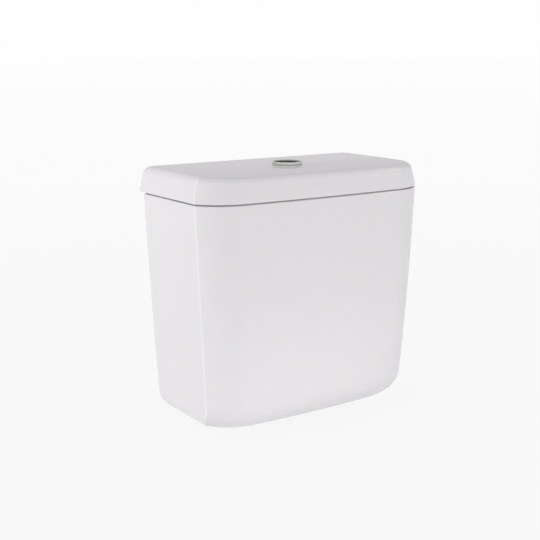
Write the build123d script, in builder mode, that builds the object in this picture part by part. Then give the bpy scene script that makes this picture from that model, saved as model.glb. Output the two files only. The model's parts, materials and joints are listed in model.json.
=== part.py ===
from build123d import *
import os
from math import asin, atan, atan2, cos, degrees, pi, radians, sin, sqrt

# Close-coupled toilet cistern, in millimetres.
# +Z is up, the front faces -Y, the wall side is +Y, and the origin lies on the flush outlet's axis,
# in the plane that the tank's foot stands on.

# Shared values
overrun = 2.0  # how far a cut runs past the face it opens
slide_gap = 0.35  # radial running gap of pieces that slide in each other
rest_gap = 0.2  # gap under a piece that rests on another body
fit_gap = 0.05  # radial gap of a piece clipped or screwed on another

# Tank, vitreous china
tank_width = 385.0  # at the rim
tank_depth = 188.0  # at the rim
outlet_to_back = 88.0
rim_height = 328.0
side_taper = 15.5  # each side leans in by this much from rim to foot
side_curve = 4.0  # and by this much more, growing with the square of the depth below the rim
front_taper = -2.0
front_curve = 9.5
corner_radius = 68.0  # front corners in plan
corner_turn = 61.0  # degrees from the front's line at which the corner arc meets the flat side
front_bow = 3.5
edge_radius = 7.0  # near vertical edge between corner arc and flat side
back_radius = 10.0
foot_side_radius = 30.0
foot_back_radius = 20.0
tank_wall = 9.0
floor_thickness = 12.0
foot_recess = 16.0  # the floor's underside lies this far above the foot
foot_rim = 8.0
inner_side_radius = 22.0
inner_back_radius = 16.0
inner_foot_step = 10.0  # the hollow's front foot is this much tighter than the outside
rim_round = 1.2
outlet_hole_radius = 25.5
inlet_hole_radius = 11.5
coupling_spacing = 150.0
coupling_hole_radius = 6.0
wall_fixing_spacing = 240.0
wall_fixing_height = 285.0
wall_fixing_radius = 4.5
wall_pad_radius = 13.0
wall_pad_taper = 15.0  # degrees

# Lid, vitreous china
lid_seam = 0.3  # gap at rest between the unglazed rim and the lid's unglazed edge
lid_height = 36.0
lid_side_overhang = 1.0
lid_back_overhang = 12.0
lid_side_lean = 7.6
lid_front_lean = 4.5
lid_back_lean = 2.7
lid_top_radius = 14.0
lid_edge_radius = 2.0
lid_wall = 9.0
lid_inner_radius = 7.0
lug_thickness = 6.0
lug_length = 44.0
lug_drop = 7.0  # below the rim
lug_gap = 2.5  # from the tank's inner wall

# Push button
button_hole_radius = 19.9
bezel_radius = 22.0
bezel_height = 4.5
bezel_side_height = 2.6
bezel_slope = 1.8
bezel_bore_radius = 17.3
bezel_skirt = 0.9
bezel_skirt_depth = 14.5
housing_radius = 19.5
housing_flange_radius = 20.9
housing_flange_height = 1.0
housing_length = 46.0
housing_lower_bore = 16.8
housing_ledge_depth = 14.5
web_depth = 27.0
web_thickness = 4.0
button_seal_height = 0.6
button_drop = 3.0  # below the bezel's lip
button_thickness = 3.0
button_skirt_depth = 3.0
button_skirt = 1.6
button_split = 2.5  # the cut between the two buttons lies off centre
button_slit = 0.7
button_edge_round = 0.5
button_spacing = 17.0
stem_radius = 5.0
stem_grip = 12.0
stem_collar_radius = 6.2
stem_collar_height = 4.0
push_rod_radius = 3.0
nut_radius = 26.0
nut_lobes = 8
nut_lobe_radius = 5.0
nut_height = 9.0
nut_washer_height = 2.0
nut_washer_radius = 27.0
spring_wire_radius = 0.45
spring_radius = 5.7
spring_turns = 5
spring_seat_gap = 0.1

# Flush valve
outlet_thread_radius = 23.9  # G 1 1/2 tail
outlet_bore_radius = 19.5
outlet_mouth_radius = 20.2
outlet_mouth_top = 20.0
outlet_tail = 8.0  # below the foot
valve_washer_height = 3.0
valve_washer_radius = 32.5
valve_flange_radius = 33.0
valve_flange_height = 3.5
seat_height = 4.0
seat_lip = 2.5
cage_wall = 2.5
cage_height = 41.0
cage_legs = 6
cage_leg_width = 7.0
cage_ring_height = 6.0
valve_nut_height = 11.0
valve_nut_radius = 31.5
valve_nut_lugs = 8
doughnut_radius = 38.0
doughnut_drop = 5.0  # below the foot
doughnut_clearance = 0.5  # from the foot's rim
tower_radius = 34.0
tower_height = 136.0
tower_wall = 2.5
tower_windows = 6
tower_window_width = 12.0
tower_window_height = 46.0
tower_plate = 4.0
vent_radius = 3.5
tube_radius = 13.0
tube_wall = 2.0
tube_top = 240.0
tube_nose = 6.0
tube_nose_radius = 16.5
seal_radius = 25.0
seal_height = 3.0
carrier_radius = 23.5
carrier_height = 3.0
float_outer_radius = 29.5
float_height = 40.0
float_wall = 1.8
float_bottom = 148.0
bridge_plate = 3.0
bridge_inner_radius = 20.0
cheek_gap = 40.0  # between the two cheeks of the bridge
cheek_window_width = 20.0
cheek_thickness = 3.0
cheek_width = 44.0
cheek_top_width = 36.0
push_rod_reach = 52.0  # from the stem's end down to the rocker's pad
pivot_offset = 13.0
pivot_margin = 7.0
pin_radius = 1.5
pin_fit = 0.06
pin_head_radius = 2.6
pin_head = 1.5
rocker_swing = 34.0  # degrees
rocker_width = 8.0
rocker_lift_arm = 29.0
rocker_hub_radius = 4.0
pad_nose_radius = 3.5
lift_nose_radius = 3.0
contact_gap = 0.3
yoke_width = 7.0
yoke_collar_height = 9.0
yoke_collar_wall = 4.0
yoke_bar = 3.5
yoke_hook = 4.2
yoke_margin = 1.5
yoke_overlap = 5.0
half_rod_bottom = 118.0
half_float_bottom = 140.0
half_float_height = 34.0
half_float_width = 42.0
half_float_depth = 20.0
half_float_wall = 1.8
half_float_grip = 2.5
notch_pitch = 5.0
notch_depth = 0.8
guide_height = 6.0
guide_wall = 2.5
lower_guide_rise = 48.5  # above the cage
upper_guide_drop = 12.5  # below the tower's top

# Fill valve
fill_to_side = 82.5  # from the tank's side at the rim
fill_y = 8.0
inlet_thread_radius = 10.48  # G 1/2 tail
inlet_shank_radius = 9.9  # pitch radius, where the nut engages and above
inlet_tail = 12.0  # below the foot
inlet_bore_radius = 7.0
fill_flange_radius = 17.0
fill_flange_height = 4.0
fill_washer_height = 3.0
fill_washer_radius = 16.5
fill_nut_flats = 30.0
fill_nut_height = 8.0
riser_radius = 9.0
riser_top = 215.0
sleeve_radius = 14.0
sleeve_wall = 1.6
sleeve_bottom = 62.0
sleeve_stop_radius = 18.0
sleeve_stop_height = 5.0
sleeve_slots = 4
sleeve_slot_width = 6.0
sleeve_slot_height = 26.0
head_radius = 17.0
head_height = 27.0
head_socket = 11.0
head_socket_wall = 2.2
head_bore_radius = 4.0
diaphragm_radius = 15.0
diaphragm_height = 2.0
cap_radius = 18.0
cap_height = 14.0
cap_ribs = 24
cap_rib_radius = 0.9
ear_thickness = 2.5
ear_radius = 5.0
ear_rise = 12.0
arm_pivot_offset = 1.0
arm_play = 1.0  # above and below the arm's end, which stays level with the rod only on average
arm_length = 26.0
arm_width = 9.0
arm_hub_radius = 4.0
arm_end_radius = 5.0
arm_nose = 9.0
arm_slot_gap = 1.7
arm_pin_radius = 1.25
float_travel = 12.0
fill_float_bottom = 110.0
fill_float_height = 56.0
fill_float_radius = 31.0
fill_float_wall = 2.0
fill_float_gap = 1.0
fill_float_ribs = 4
fill_float_rib_width = 3.0
fill_rod_radius = 2.0
fill_rod_above = 5.0
rod_socket = 8.0
rod_socket_wall = 2.5
collar_radius = 3.6
collar_height = 3.0
clip_radius = 6.5
clip_height = 9.0
filter_radius = 6.6
filter_length = 24.0
filter_wall = 1.0
filter_recess = 2.0
filter_slots = 8
filter_slot_width = 2.2

# Levels and places that follow from the values above
back_face = outlet_to_back
front_face = tank_depth - outlet_to_back
foot_front = front_face - front_taper - front_curve
foot_front_radius = foot_front - foot_rim - doughnut_radius - doughnut_clearance
inner_front_radius = foot_front_radius - inner_foot_step
floor_top = foot_recess + floor_thickness
lid_bottom = rim_height + lid_seam
lid_top = lid_bottom + lid_height
lid_ceiling = lid_top - lid_wall
seal_top = lid_top + button_seal_height
flange_top = seal_top + housing_flange_height
bezel_top = lid_top + bezel_height
button_top = bezel_top - button_drop
button_under = button_top - button_thickness
web_top = seal_top - web_depth
stem_bottom = web_top - web_thickness - contact_gap
valve_flange_bottom = floor_top + valve_washer_height
valve_flange_top = valve_flange_bottom + valve_flange_height
seat_top = valve_flange_top + seat_height
cage_top = valve_flange_top + cage_height
tower_top = cage_top + tower_height
tube_inner_radius = tube_radius - tube_wall
bridge_top = tower_top + bridge_plate
lower_guide = cage_top + lower_guide_rise
upper_guide = tower_top - upper_guide_drop
half_swing = radians(rocker_swing / 2)
button_travel = 2 * pivot_offset * sin(half_swing)
lift_travel = 2 * rocker_lift_arm * sin(half_swing)
pad_y = pivot_offset * (1 - cos(half_swing))
rod_bottom = stem_bottom - push_rod_reach
pad_z = rod_bottom - contact_gap - pad_nose_radius
pivot_height = pad_z - pivot_offset * sin(half_swing)
lift_y = pivot_offset + rocker_lift_arm * cos(half_swing)
lift_z = pivot_height - rocker_lift_arm * sin(half_swing)
hook_under = lift_z + lift_nose_radius + contact_gap
hook_top = hook_under + yoke_hook
strap_inner = pivot_offset + rocker_lift_arm + lift_nose_radius + yoke_margin
strap_outer = strap_inner + yoke_bar
fill_x = tank_width / 2 - fill_to_side
fill_flange_bottom = floor_top + fill_washer_height
fill_flange_top = fill_flange_bottom + fill_flange_height
head_top = riser_top + head_height
cap_top = head_top + cap_height
arm_pivot_x = fill_x + arm_pivot_offset
arm_pivot_z = cap_top + ear_rise
half_arm_swing = asin(float_travel / 2 / arm_length)
rod_x = arm_pivot_x - arm_length * cos(half_arm_swing)
arm_end_z = arm_pivot_z - arm_length * sin(half_arm_swing)
fill_float_top = fill_float_bottom + fill_float_height
fill_axis = Axis((fill_x, fill_y, 0), (0, 0, 1))
arc_shares = (0, 0.14, 0.28, 0.42, 0.56, 0.70, 0.84, 1)
wall_shares = (0, 0.33, 0.66, 1)


def round_cut(height, radius):
    """How far a round edge of this radius stands back at a height above its start."""
    below = max(radius - height, 0)
    return radius - sqrt(radius**2 - below**2)


def arc_levels(radius):
    """Heights at even steps of angle up a quarter round."""
    return [radius * (1 - cos(share * pi / 2)) for share in arc_shares]


def plan_section(height, half_width, back, front):
    """Plan outline: flat back and sides, front corners of one arc each and a slightly bowed front."""
    turn = radians(corner_turn)
    slope = atan(2 * front_bow / (half_width - corner_radius * sin(turn)))
    bow_x = half_width - corner_radius * (sin(turn) - sin(slope))
    bow_y = front_bow - front
    centre_x = bow_x - corner_radius * sin(slope)
    centre_y = bow_y + corner_radius * cos(slope)
    # The edge arc touches the flat side and, from inside, the corner arc
    edge_x = half_width - edge_radius
    edge_y = centre_y - sqrt((corner_radius - edge_radius) ** 2 - (edge_x - centre_x) ** 2)
    start = degrees(slope) - 90
    meet = degrees(atan2(edge_y - centre_y, edge_x - centre_x))
    with BuildSketch(Plane.XY.offset(height)) as section:
        with BuildLine():
            CenterArc((centre_x, centre_y), corner_radius, start, meet - start)
            CenterArc((edge_x, edge_y), edge_radius, meet, -meet)
            Line((half_width, edge_y), (half_width, back - back_radius))
            CenterArc((half_width - back_radius, back - back_radius), back_radius, 0, 90)
            mirror(about=Plane.YZ)
            Line((half_width - back_radius, back), (back_radius - half_width, back))
            ThreePointArc((-bow_x, bow_y), (0, -front), (bow_x, bow_y))
        make_face()
    return section.sketch


def tank_section(height, inset, base, side_round, front_round, back_round):
    """Section of the tapered tank, inset from its outer face and rounded in towards its base."""
    depth = 1 - height / rim_height
    rise = height - base
    half_width = tank_width / 2 - side_taper * depth - side_curve * depth**2
    front = front_face - front_taper * depth - front_curve * depth**2
    return plan_section(
        height,
        half_width - inset - round_cut(rise, side_round),
        back_face - inset - round_cut(rise, back_round),
        front - inset - round_cut(rise, front_round),
    )


def foot_levels(base, front_round):
    """Heights of the sections up the rounded foot."""
    return [base + rise for rise in arc_levels(front_round)]


def wall_levels(start, top):
    """Heights of the sections up the wall."""
    return [start + share * (top - start) for share in wall_shares]


def lid_section(height, inset, cut):
    """Section of the lid, whose sides lean in as they rise."""
    rise = (height - lid_bottom) / lid_height
    return plan_section(
        height,
        tank_width / 2 + lid_side_overhang - lid_side_lean * rise - inset - cut,
        back_face + lid_back_overhang - lid_back_lean * rise - inset - cut,
        front_face - lid_front_lean * rise - inset - cut,
    )


def turned(points, x=0, y=0):
    """Closed half profile of a turned piece, from (radius, height) points, on an upright plane."""
    with BuildSketch(Plane(origin=(x, y, 0), x_dir=(1, 0, 0), z_dir=(0, -1, 0))) as profile:
        with BuildLine():
            Polyline(*points, close=True)
        make_face()
    return profile.sketch


def ring_points(inner, outer, bottom, top):
    """Half profile of a plain ring."""
    return [(inner, bottom), (outer, bottom), (outer, top), (inner, top)]


def hull_of(circles, plane):
    """Outline drawn tightly round circles given as (u, v, radius) on a plane."""
    with BuildSketch(plane) as outline:
        for u, v, radius in circles:
            with Locations((u, v)):
                Circle(radius)
        make_hull()
    return outline.sketch


def strip(points, plane):
    """Closed outline through points on a plane."""
    with BuildSketch(plane) as outline:
        with BuildLine():
            Polyline(*points, close=True)
        make_face()
    return outline.sketch


def finish(piece, name):
    """Names a finished piece and writes it."""
    piece.part.label = name
    export_step(piece.part, f"parts/{name}.step")


os.makedirs("parts", exist_ok=True)

# Tank: lofted china shell with a raised floor, holes for both valves, coupling bolts and wall screws
with BuildPart() as tank:
    foot_rounds = (foot_side_radius, foot_front_radius, foot_back_radius)
    rim_start = rim_height - rim_round
    outer_foot = foot_levels(0, foot_front_radius)
    outer_wall = wall_levels(outer_foot[-1], rim_start)
    loft(sections=[tank_section(level, 0, 0, *foot_rounds) for level in outer_foot])
    loft(sections=[tank_section(level, 0, 0, *foot_rounds) for level in outer_wall])
    rim_edge = tank_section(rim_start, 0, 0, *foot_rounds)
    rim_top = tank_section(rim_height, rim_round, 0, *foot_rounds)
    loft(sections=[rim_edge, rim_top], ruled=True)
    inner_rounds = (inner_side_radius, inner_front_radius, inner_back_radius)
    inner_foot = foot_levels(floor_top, inner_front_radius)
    inner_wall = wall_levels(inner_foot[-1], rim_height + overrun)
    for heights in (inner_foot, inner_wall):
        cavity = [tank_section(level, tank_wall, floor_top, *inner_rounds) for level in heights]
        loft(sections=cavity, mode=Mode.SUBTRACT)
    with BuildSketch() as recess:
        add(tank_section(0, foot_rim, 0, *foot_rounds))
    extrude(amount=foot_recess, mode=Mode.SUBTRACT)
    with BuildSketch(Plane.XY.offset(floor_top + overrun)):
        Circle(outlet_hole_radius)
        with Locations((fill_x, fill_y)):
            Circle(inlet_hole_radius)
        with GridLocations(coupling_spacing, 0, 2, 1):
            Circle(coupling_hole_radius)
    extrude(amount=-floor_thickness - 2 * overrun, mode=Mode.SUBTRACT)
    # Pads on the back stand as far out as the lid does, and carry the holes for the wall screws
    wall_plane = back_face + lid_back_overhang
    with BuildSketch(Plane.XZ.offset(-wall_plane)):
        with Locations((0, wall_fixing_height)):
            with GridLocations(wall_fixing_spacing, 0, 2, 1):
                Circle(wall_pad_radius)
    extrude(amount=lid_back_overhang + tank_wall / 2, taper=-wall_pad_taper)
    with BuildSketch(Plane.XZ.offset(-wall_plane - overrun)):
        with Locations((0, wall_fixing_height)):
            with GridLocations(wall_fixing_spacing, 0, 2, 1):
                Circle(wall_fixing_radius)
    extrude(amount=lid_back_overhang + tank_wall + 2 * overrun, mode=Mode.SUBTRACT)
finish(tank, "tank")

# Lid: leaning sides, a large soft top edge, hollow underneath, with locating lugs and the button's hole
with BuildPart() as lid:
    side_top = lid_top - lid_top_radius
    edge_top = lid_bottom + lid_edge_radius
    loft(sections=[lid_section(lid_bottom, 0, lid_edge_radius / 2), lid_section(edge_top, 0, 0)], ruled=True)
    loft(sections=[lid_section(edge_top, 0, 0), lid_section(side_top, 0, 0)], ruled=True)
    top_levels = [lid_top - rise for rise in arc_levels(lid_top_radius)]
    loft(
        sections=[
            lid_section(level, 0, round_cut(lid_top - level, lid_top_radius)) for level in reversed(top_levels)
        ]
    )
    inner_top = lid_ceiling - lid_inner_radius
    inner_start = lid_section(lid_bottom - overrun, lid_wall, 0)
    loft(sections=[inner_start, lid_section(inner_top, lid_wall, 0)], ruled=True, mode=Mode.SUBTRACT)
    ceiling_levels = [lid_ceiling - rise for rise in arc_levels(lid_inner_radius)]
    loft(
        sections=[
            lid_section(level, lid_wall, round_cut(lid_ceiling - level, lid_inner_radius))
            for level in reversed(ceiling_levels)
        ],
        mode=Mode.SUBTRACT,
    )
    # Lugs that drop inside the tank's walls, two along each long side and one at each end
    lug_bottom = rim_height - lug_drop
    lug_height = lid_ceiling + lid_wall / 2 - lug_bottom
    lug_inset = tank_wall + lug_gap + lug_thickness / 2
    lug_back = back_face - lug_inset
    lug_front = lug_inset - front_face
    lug_x = tank_width / 2 - lug_inset
    lug_y = (lug_back + lug_front) / 2
    with BuildSketch(Plane.XY.offset(lug_bottom)):
        with Locations((-lug_x / 2, lug_back), (lug_x / 2, lug_back), (-lug_x / 2, lug_front), (lug_x / 2, lug_front)):
            SlotOverall(lug_length, lug_thickness)
        with Locations((-lug_x, lug_y), (lug_x, lug_y)):
            SlotOverall(lug_length, lug_thickness, rotation=90)
    extrude(amount=lug_height)
    with BuildSketch(Plane.XY.offset(lid_top + overrun)):
        Circle(button_hole_radius)
    extrude(amount=-lid_wall - 2 * overrun, mode=Mode.SUBTRACT)
finish(lid, "lid")

# Button housing: threaded sleeve through the lid, with a web that guides both button stems
upper_bore = bezel_bore_radius + bezel_skirt + fit_gap
housing_bottom = seal_top - housing_length
housing_ledge = flange_top - housing_ledge_depth
with BuildPart() as button_housing:
    housing_points = [
        (upper_bore, flange_top),
        (housing_flange_radius, flange_top),
        (housing_flange_radius, seal_top),
        (housing_radius, seal_top),
        (housing_radius, housing_bottom),
        (housing_lower_bore, housing_bottom),
        (housing_lower_bore, housing_ledge),
        (upper_bore, housing_ledge),
    ]
    revolve(turned(housing_points), axis=Axis.Z)
    with BuildSketch(Plane.XY.offset(web_top)):
        Circle((housing_lower_bore + housing_radius) / 2)
        with GridLocations(button_spacing, 0, 2, 1):
            Circle(stem_radius + slide_gap, mode=Mode.SUBTRACT)
    extrude(amount=-web_thickness)
finish(button_housing, "button_housing")

# Clear washer between the housing's flange and the glazed lid
with BuildPart() as button_seal:
    revolve(turned(ring_points(button_hole_radius, housing_flange_radius, lid_top, seal_top)), axis=Axis.Z)
finish(button_seal, "button_seal")

# Chrome bezel that caps the housing's flange and lines its bore
with BuildPart() as button_bezel:
    cap_under = flange_top + fit_gap
    skirt_radius = bezel_bore_radius + bezel_skirt
    skirt_bottom = bezel_top - bezel_skirt_depth
    flange_side = housing_flange_radius + fit_gap
    bezel_points = [
        (bezel_bore_radius, skirt_bottom),
        (bezel_bore_radius, bezel_top),
        (bezel_radius - bezel_slope, bezel_top),
        (bezel_radius, lid_top + bezel_side_height),
        (bezel_radius, lid_top + fit_gap),
        (flange_side, lid_top + fit_gap),
        (flange_side, cap_under),
        (skirt_radius, cap_under),
        (skirt_radius, skirt_bottom),
    ]
    revolve(turned(bezel_points), axis=Axis.Z)
    crown = button_bezel.edges().filter_by(GeomType.CIRCLE).group_by(Axis.Z)[-1]
    fillet(crown, bezel_skirt / 2)
finish(button_bezel, "button_bezel")

# Two buttons cut from one disc: the larger for the full flush, the smaller for the half flush
button_radius = bezel_bore_radius - slide_gap
for name, side in (("full_flush_button", -1), ("half_flush_button", 1)):
    cut_x = button_split + side * button_slit / 2
    with BuildPart() as button:
        with BuildSketch(Plane.XY.offset(button_top)):
            Circle(button_radius)
            with Locations((cut_x - side * button_radius, 0)):
                Rectangle(2 * button_radius, 2 * button_radius, mode=Mode.SUBTRACT)
        extrude(amount=-button_thickness - button_skirt_depth)
        with BuildSketch(Plane.XY.offset(button_under)):
            Circle(button_radius - button_skirt)
            with Locations((cut_x - side * button_radius, 0)):
                Rectangle(2 * button_radius, 2 * button_radius, mode=Mode.SUBTRACT)
        extrude(amount=-button_skirt_depth, mode=Mode.SUBTRACT)
        fillet(button.edges().group_by(Axis.Z)[-1], button_edge_round)
        with BuildSketch(Plane.XY.offset(button_under)):
            with Locations((side * button_spacing / 2, 0)):
                Circle(stem_radius)
        extrude(amount=stem_bottom - button_under)
        with BuildSketch(Plane.XY.offset(stem_bottom)):
            with Locations((side * button_spacing / 2, 0)):
                Circle(push_rod_radius + fit_gap)
        extrude(amount=stem_grip, mode=Mode.SUBTRACT)
    finish(button, name)

# Push rods screwed into the stems: the collar under the web stops the button from rising
rod_angles = [share * pi / 2 for share in arc_shares]
rod_dome = [
    (push_rod_radius * sin(angle), rod_bottom + push_rod_radius * (1 - cos(angle))) for angle in rod_angles
]
rod_points = [
    *rod_dome,
    (push_rod_radius, stem_bottom - stem_collar_height),
    (stem_collar_radius, stem_bottom - stem_collar_height),
    (stem_collar_radius, stem_bottom),
    (push_rod_radius, stem_bottom),
    (push_rod_radius, stem_bottom + stem_grip - slide_gap),
    (0, stem_bottom + stem_grip - slide_gap),
]
for name, side in (("full_flush_push_rod", -1), ("half_flush_push_rod", 1)):
    rod_place = side * button_spacing / 2
    with BuildPart() as push_rod:
        revolve(turned(rod_points, rod_place), axis=Axis((rod_place, 0, 0), (0, 0, 1)))
    finish(push_rod, name)


def coil(x, bottom, top, radius, turns):
    """Helix in quarter turns, each of two arcs that share a tangent where they meet."""
    steps = 4 * turns
    rise = (top - bottom) / steps
    corner = sqrt((2 * radius) ** 2 + (rise * steps / turns / pi) ** 2) / 2
    with BuildLine() as path:
        for step in range(steps):
            ends = []
            for quarter in (step, step + 1):
                angle = quarter * pi / 2
                place = Vector(x + radius * cos(angle), radius * sin(angle), bottom + quarter * rise)
                along = Vector(-radius * sin(angle), radius * cos(angle), 2 * rise / pi) / corner
                ends.append((place, along))
            (start, start_way), (end, end_way) = ends
            chord = end - start
            both = start_way + end_way
            a = 4 - both.dot(both)
            b = 2 * chord.dot(both)
            reach = (sqrt(b**2 + 4 * a * chord.dot(chord)) - b) / (2 * a)
            middle = (start + start_way * reach + end - end_way * reach) / 2
            TangentArc(start, middle, tangent=start_way)
            TangentArc(middle, end, tangent=end - end_way * reach - middle)
    return path


# Return springs, one round each stem, between the web and the button
for name, side in (("full_flush_spring", -1), ("half_flush_spring", 1)):
    low_end = web_top + spring_wire_radius + spring_seat_gap
    high_end = button_under - spring_wire_radius - spring_seat_gap
    centre_line = coil(side * button_spacing / 2, low_end, high_end, spring_radius, spring_turns)
    with BuildPart() as spring:
        with BuildSketch(Plane(centre_line.line @ 0, z_dir=centre_line.line % 0)):
            Circle(spring_wire_radius)
        sweep(path=centre_line.line)
    finish(spring, name)
spring_gap = (high_end - low_end) / spring_turns - 2 * spring_wire_radius
print(f"least gap between a spring's turns {spring_gap:.2f} mm")

# Rubber washer and lobed nut that hold the housing under the lid
nut_top = lid_ceiling - nut_washer_height
with BuildPart() as nut_washer:
    revolve(turned(ring_points(button_hole_radius, nut_washer_radius, nut_top, lid_ceiling)), axis=Axis.Z)
finish(nut_washer, "button_nut_washer")

with BuildPart() as button_nut:
    with BuildSketch(Plane.XY.offset(nut_top)):
        Circle(nut_radius)
        with PolarLocations(nut_radius, nut_lobes):
            Circle(nut_lobe_radius)
        Circle(housing_radius + fit_gap, mode=Mode.SUBTRACT)
    extrude(amount=-nut_height)
finish(button_nut, "button_nut")

# Flush valve base: threaded tail, flange, raised seat and the cage that lets water in
with BuildPart() as valve_base:
    base_points = [
        (outlet_mouth_radius, -outlet_tail),
        (outlet_thread_radius, -outlet_tail),
        (outlet_thread_radius, valve_flange_bottom),
        (valve_flange_radius, valve_flange_bottom),
        (valve_flange_radius, valve_flange_top),
        (outlet_bore_radius + 2 * seat_lip, valve_flange_top),
        (outlet_bore_radius + seat_lip, seat_top),
        (outlet_bore_radius, seat_top),
        (outlet_bore_radius, outlet_mouth_top),
        (outlet_mouth_radius, outlet_mouth_top),
    ]
    revolve(turned(base_points), axis=Axis.Z)
    leg_angles = [360 / cage_legs * leg for leg in range(cage_legs)]
    with BuildSketch(Plane.XY.offset(valve_flange_top)):
        for angle in leg_angles:
            with Locations(Rotation(0, 0, angle)):
                with Locations((valve_flange_radius, 0)):
                    Rectangle(4 * cage_wall, cage_leg_width)
        Circle(valve_flange_radius, mode=Mode.INTERSECT)
        Circle(valve_flange_radius - cage_wall, mode=Mode.SUBTRACT)
    extrude(amount=cage_height)
    ring_bottom = cage_top - cage_ring_height
    ring_inner = valve_flange_radius - cage_wall
    revolve(turned(ring_points(ring_inner, valve_flange_radius, ring_bottom, cage_top)), axis=Axis.Z)
finish(valve_base, "flush_valve_base")

# Rubber washer between the flange and the tank's floor
with BuildPart() as valve_washer:
    washer_inner = outlet_thread_radius + fit_gap
    washer_points = ring_points(washer_inner, valve_washer_radius, floor_top, valve_flange_bottom)
    revolve(turned(washer_points), axis=Axis.Z)
finish(valve_washer, "flush_valve_washer")

# Backnut under the tank, with lugs for a ring spanner
with BuildPart() as valve_nut:
    lug_pitch = 360 / valve_nut_lugs
    with BuildSketch(Plane.XY.offset(foot_recess)):
        Circle((valve_nut_radius + outlet_thread_radius) / 2)
        for lug in range(valve_nut_lugs):
            with Locations(Rotation(0, 0, lug * lug_pitch)):
                with Locations((valve_nut_radius / 2, 0)):
                    Rectangle(valve_nut_radius, valve_nut_radius / 4)
        Circle(valve_nut_radius, mode=Mode.INTERSECT)
        Circle(outlet_thread_radius + fit_gap, mode=Mode.SUBTRACT)
    extrude(amount=-valve_nut_height)
finish(valve_nut, "flush_valve_backnut")

# Thick rubber washer that covers the backnut and seals on the pan
with BuildPart() as doughnut:
    nut_bottom = foot_recess - valve_nut_height - contact_gap
    doughnut_round = doughnut_drop / 2
    doughnut_lip = outlet_thread_radius + contact_gap
    doughnut_pocket = valve_nut_radius + contact_gap
    doughnut_points = [
        (doughnut_lip, -doughnut_drop),
        (doughnut_radius - doughnut_round, -doughnut_drop),
        (doughnut_radius, doughnut_round - doughnut_drop),
        (doughnut_radius, foot_recess),
        (doughnut_pocket, foot_recess),
        (doughnut_pocket, nut_bottom),
        (doughnut_lip, nut_bottom),
    ]
    revolve(turned(doughnut_points), axis=Axis.Z)
finish(doughnut, "doughnut_washer")

# Tower on the base: float chamber with windows, vented top plate and guides for the half flush rod
guide_reach = strap_outer + slide_gap + guide_wall
guide_slot_width = yoke_width + 2 * slide_gap
guide_slot_y = -(strap_inner + strap_outer) / 2
guide_slot_depth = yoke_bar + 2 * slide_gap
with BuildPart() as tower:
    revolve(turned(ring_points(tower_radius - tower_wall, tower_radius, cage_top, tower_top)), axis=Axis.Z)
    plate_points = ring_points(tube_radius + slide_gap, tower_radius, tower_top - tower_plate, tower_top)
    revolve(turned(plate_points), axis=Axis.Z)
    with BuildSketch(Plane.XY.offset(tower_top + overrun)):
        with PolarLocations((tube_radius + tower_radius) / 2, tower_windows):
            Circle(vent_radius)
    extrude(amount=-tower_plate - 2 * overrun, mode=Mode.SUBTRACT)
    window_step = (tower_height - 2 * tower_window_height) / 3
    window_middles = [cage_top + window_step + tower_window_height / 2]
    window_middles.append(window_middles[0] + tower_window_height + window_step)
    for window in range(tower_windows):
        plane = Plane.YZ.rotated((0, 0, 360 / tower_windows * window))
        with BuildSketch(plane.offset(tower_radius / 2)):
            with Locations(*[(0, middle) for middle in window_middles]):
                SlotOverall(tower_window_height, tower_window_width, rotation=90)
        extrude(amount=tower_radius, mode=Mode.SUBTRACT)
    for level in (lower_guide, upper_guide):
        with BuildSketch(Plane.XY.offset(level)):
            with Locations((button_spacing / 2, -guide_reach / 2)):
                Rectangle(guide_slot_width + 2 * guide_wall, guide_reach)
            Circle(tower_radius - tower_wall / 2, mode=Mode.SUBTRACT)
            with Locations((button_spacing / 2, guide_slot_y)):
                Rectangle(guide_slot_width, guide_slot_depth, mode=Mode.SUBTRACT)
        extrude(amount=guide_height)
finish(tower, "flush_valve_tower")

# Overflow tube: open at both ends, with the seal's groove and carrier disc at its foot
seal_bottom = seat_top + rest_gap
carrier_bottom = seal_bottom + seal_height
with BuildPart() as overflow_tube:
    nose_bottom = seat_top - tube_nose
    nose_round = tube_nose / 3
    tube_points = [
        (tube_inner_radius, nose_bottom),
        (tube_nose_radius - nose_round, nose_bottom),
        (tube_nose_radius, nose_bottom + nose_round),
        (tube_nose_radius, seal_bottom),
        (tube_radius, seal_bottom),
        (tube_radius, carrier_bottom),
        (carrier_radius, carrier_bottom),
        (carrier_radius, carrier_bottom + carrier_height / 2),
        (tube_nose_radius, carrier_bottom + carrier_height),
        (tube_radius, carrier_bottom + 2 * carrier_height),
        (tube_radius, tube_top),
        (tube_inner_radius, tube_top),
    ]
    revolve(turned(tube_points), axis=Axis.Z)
finish(overflow_tube, "overflow_tube")

with BuildPart() as flush_seal:
    seal_points = ring_points(tube_radius + fit_gap, seal_radius, seal_bottom, carrier_bottom)
    revolve(turned(seal_points), axis=Axis.Z)
finish(flush_seal, "flush_seal")

# Full flush float: an inverted cup clipped round the tube
with BuildPart() as full_float:
    float_top = float_bottom + float_height
    hub_inner = tube_radius + fit_gap
    float_points = [
        (hub_inner, float_bottom),
        (hub_inner + float_wall, float_bottom),
        (hub_inner + float_wall, float_top - float_wall),
        (float_outer_radius - float_wall, float_top - float_wall),
        (float_outer_radius - float_wall, float_bottom),
        (float_outer_radius, float_bottom),
        (float_outer_radius, float_top),
        (hub_inner, float_top),
    ]
    revolve(turned(float_points), axis=Axis.Z)
finish(full_float, "full_flush_float")

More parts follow.
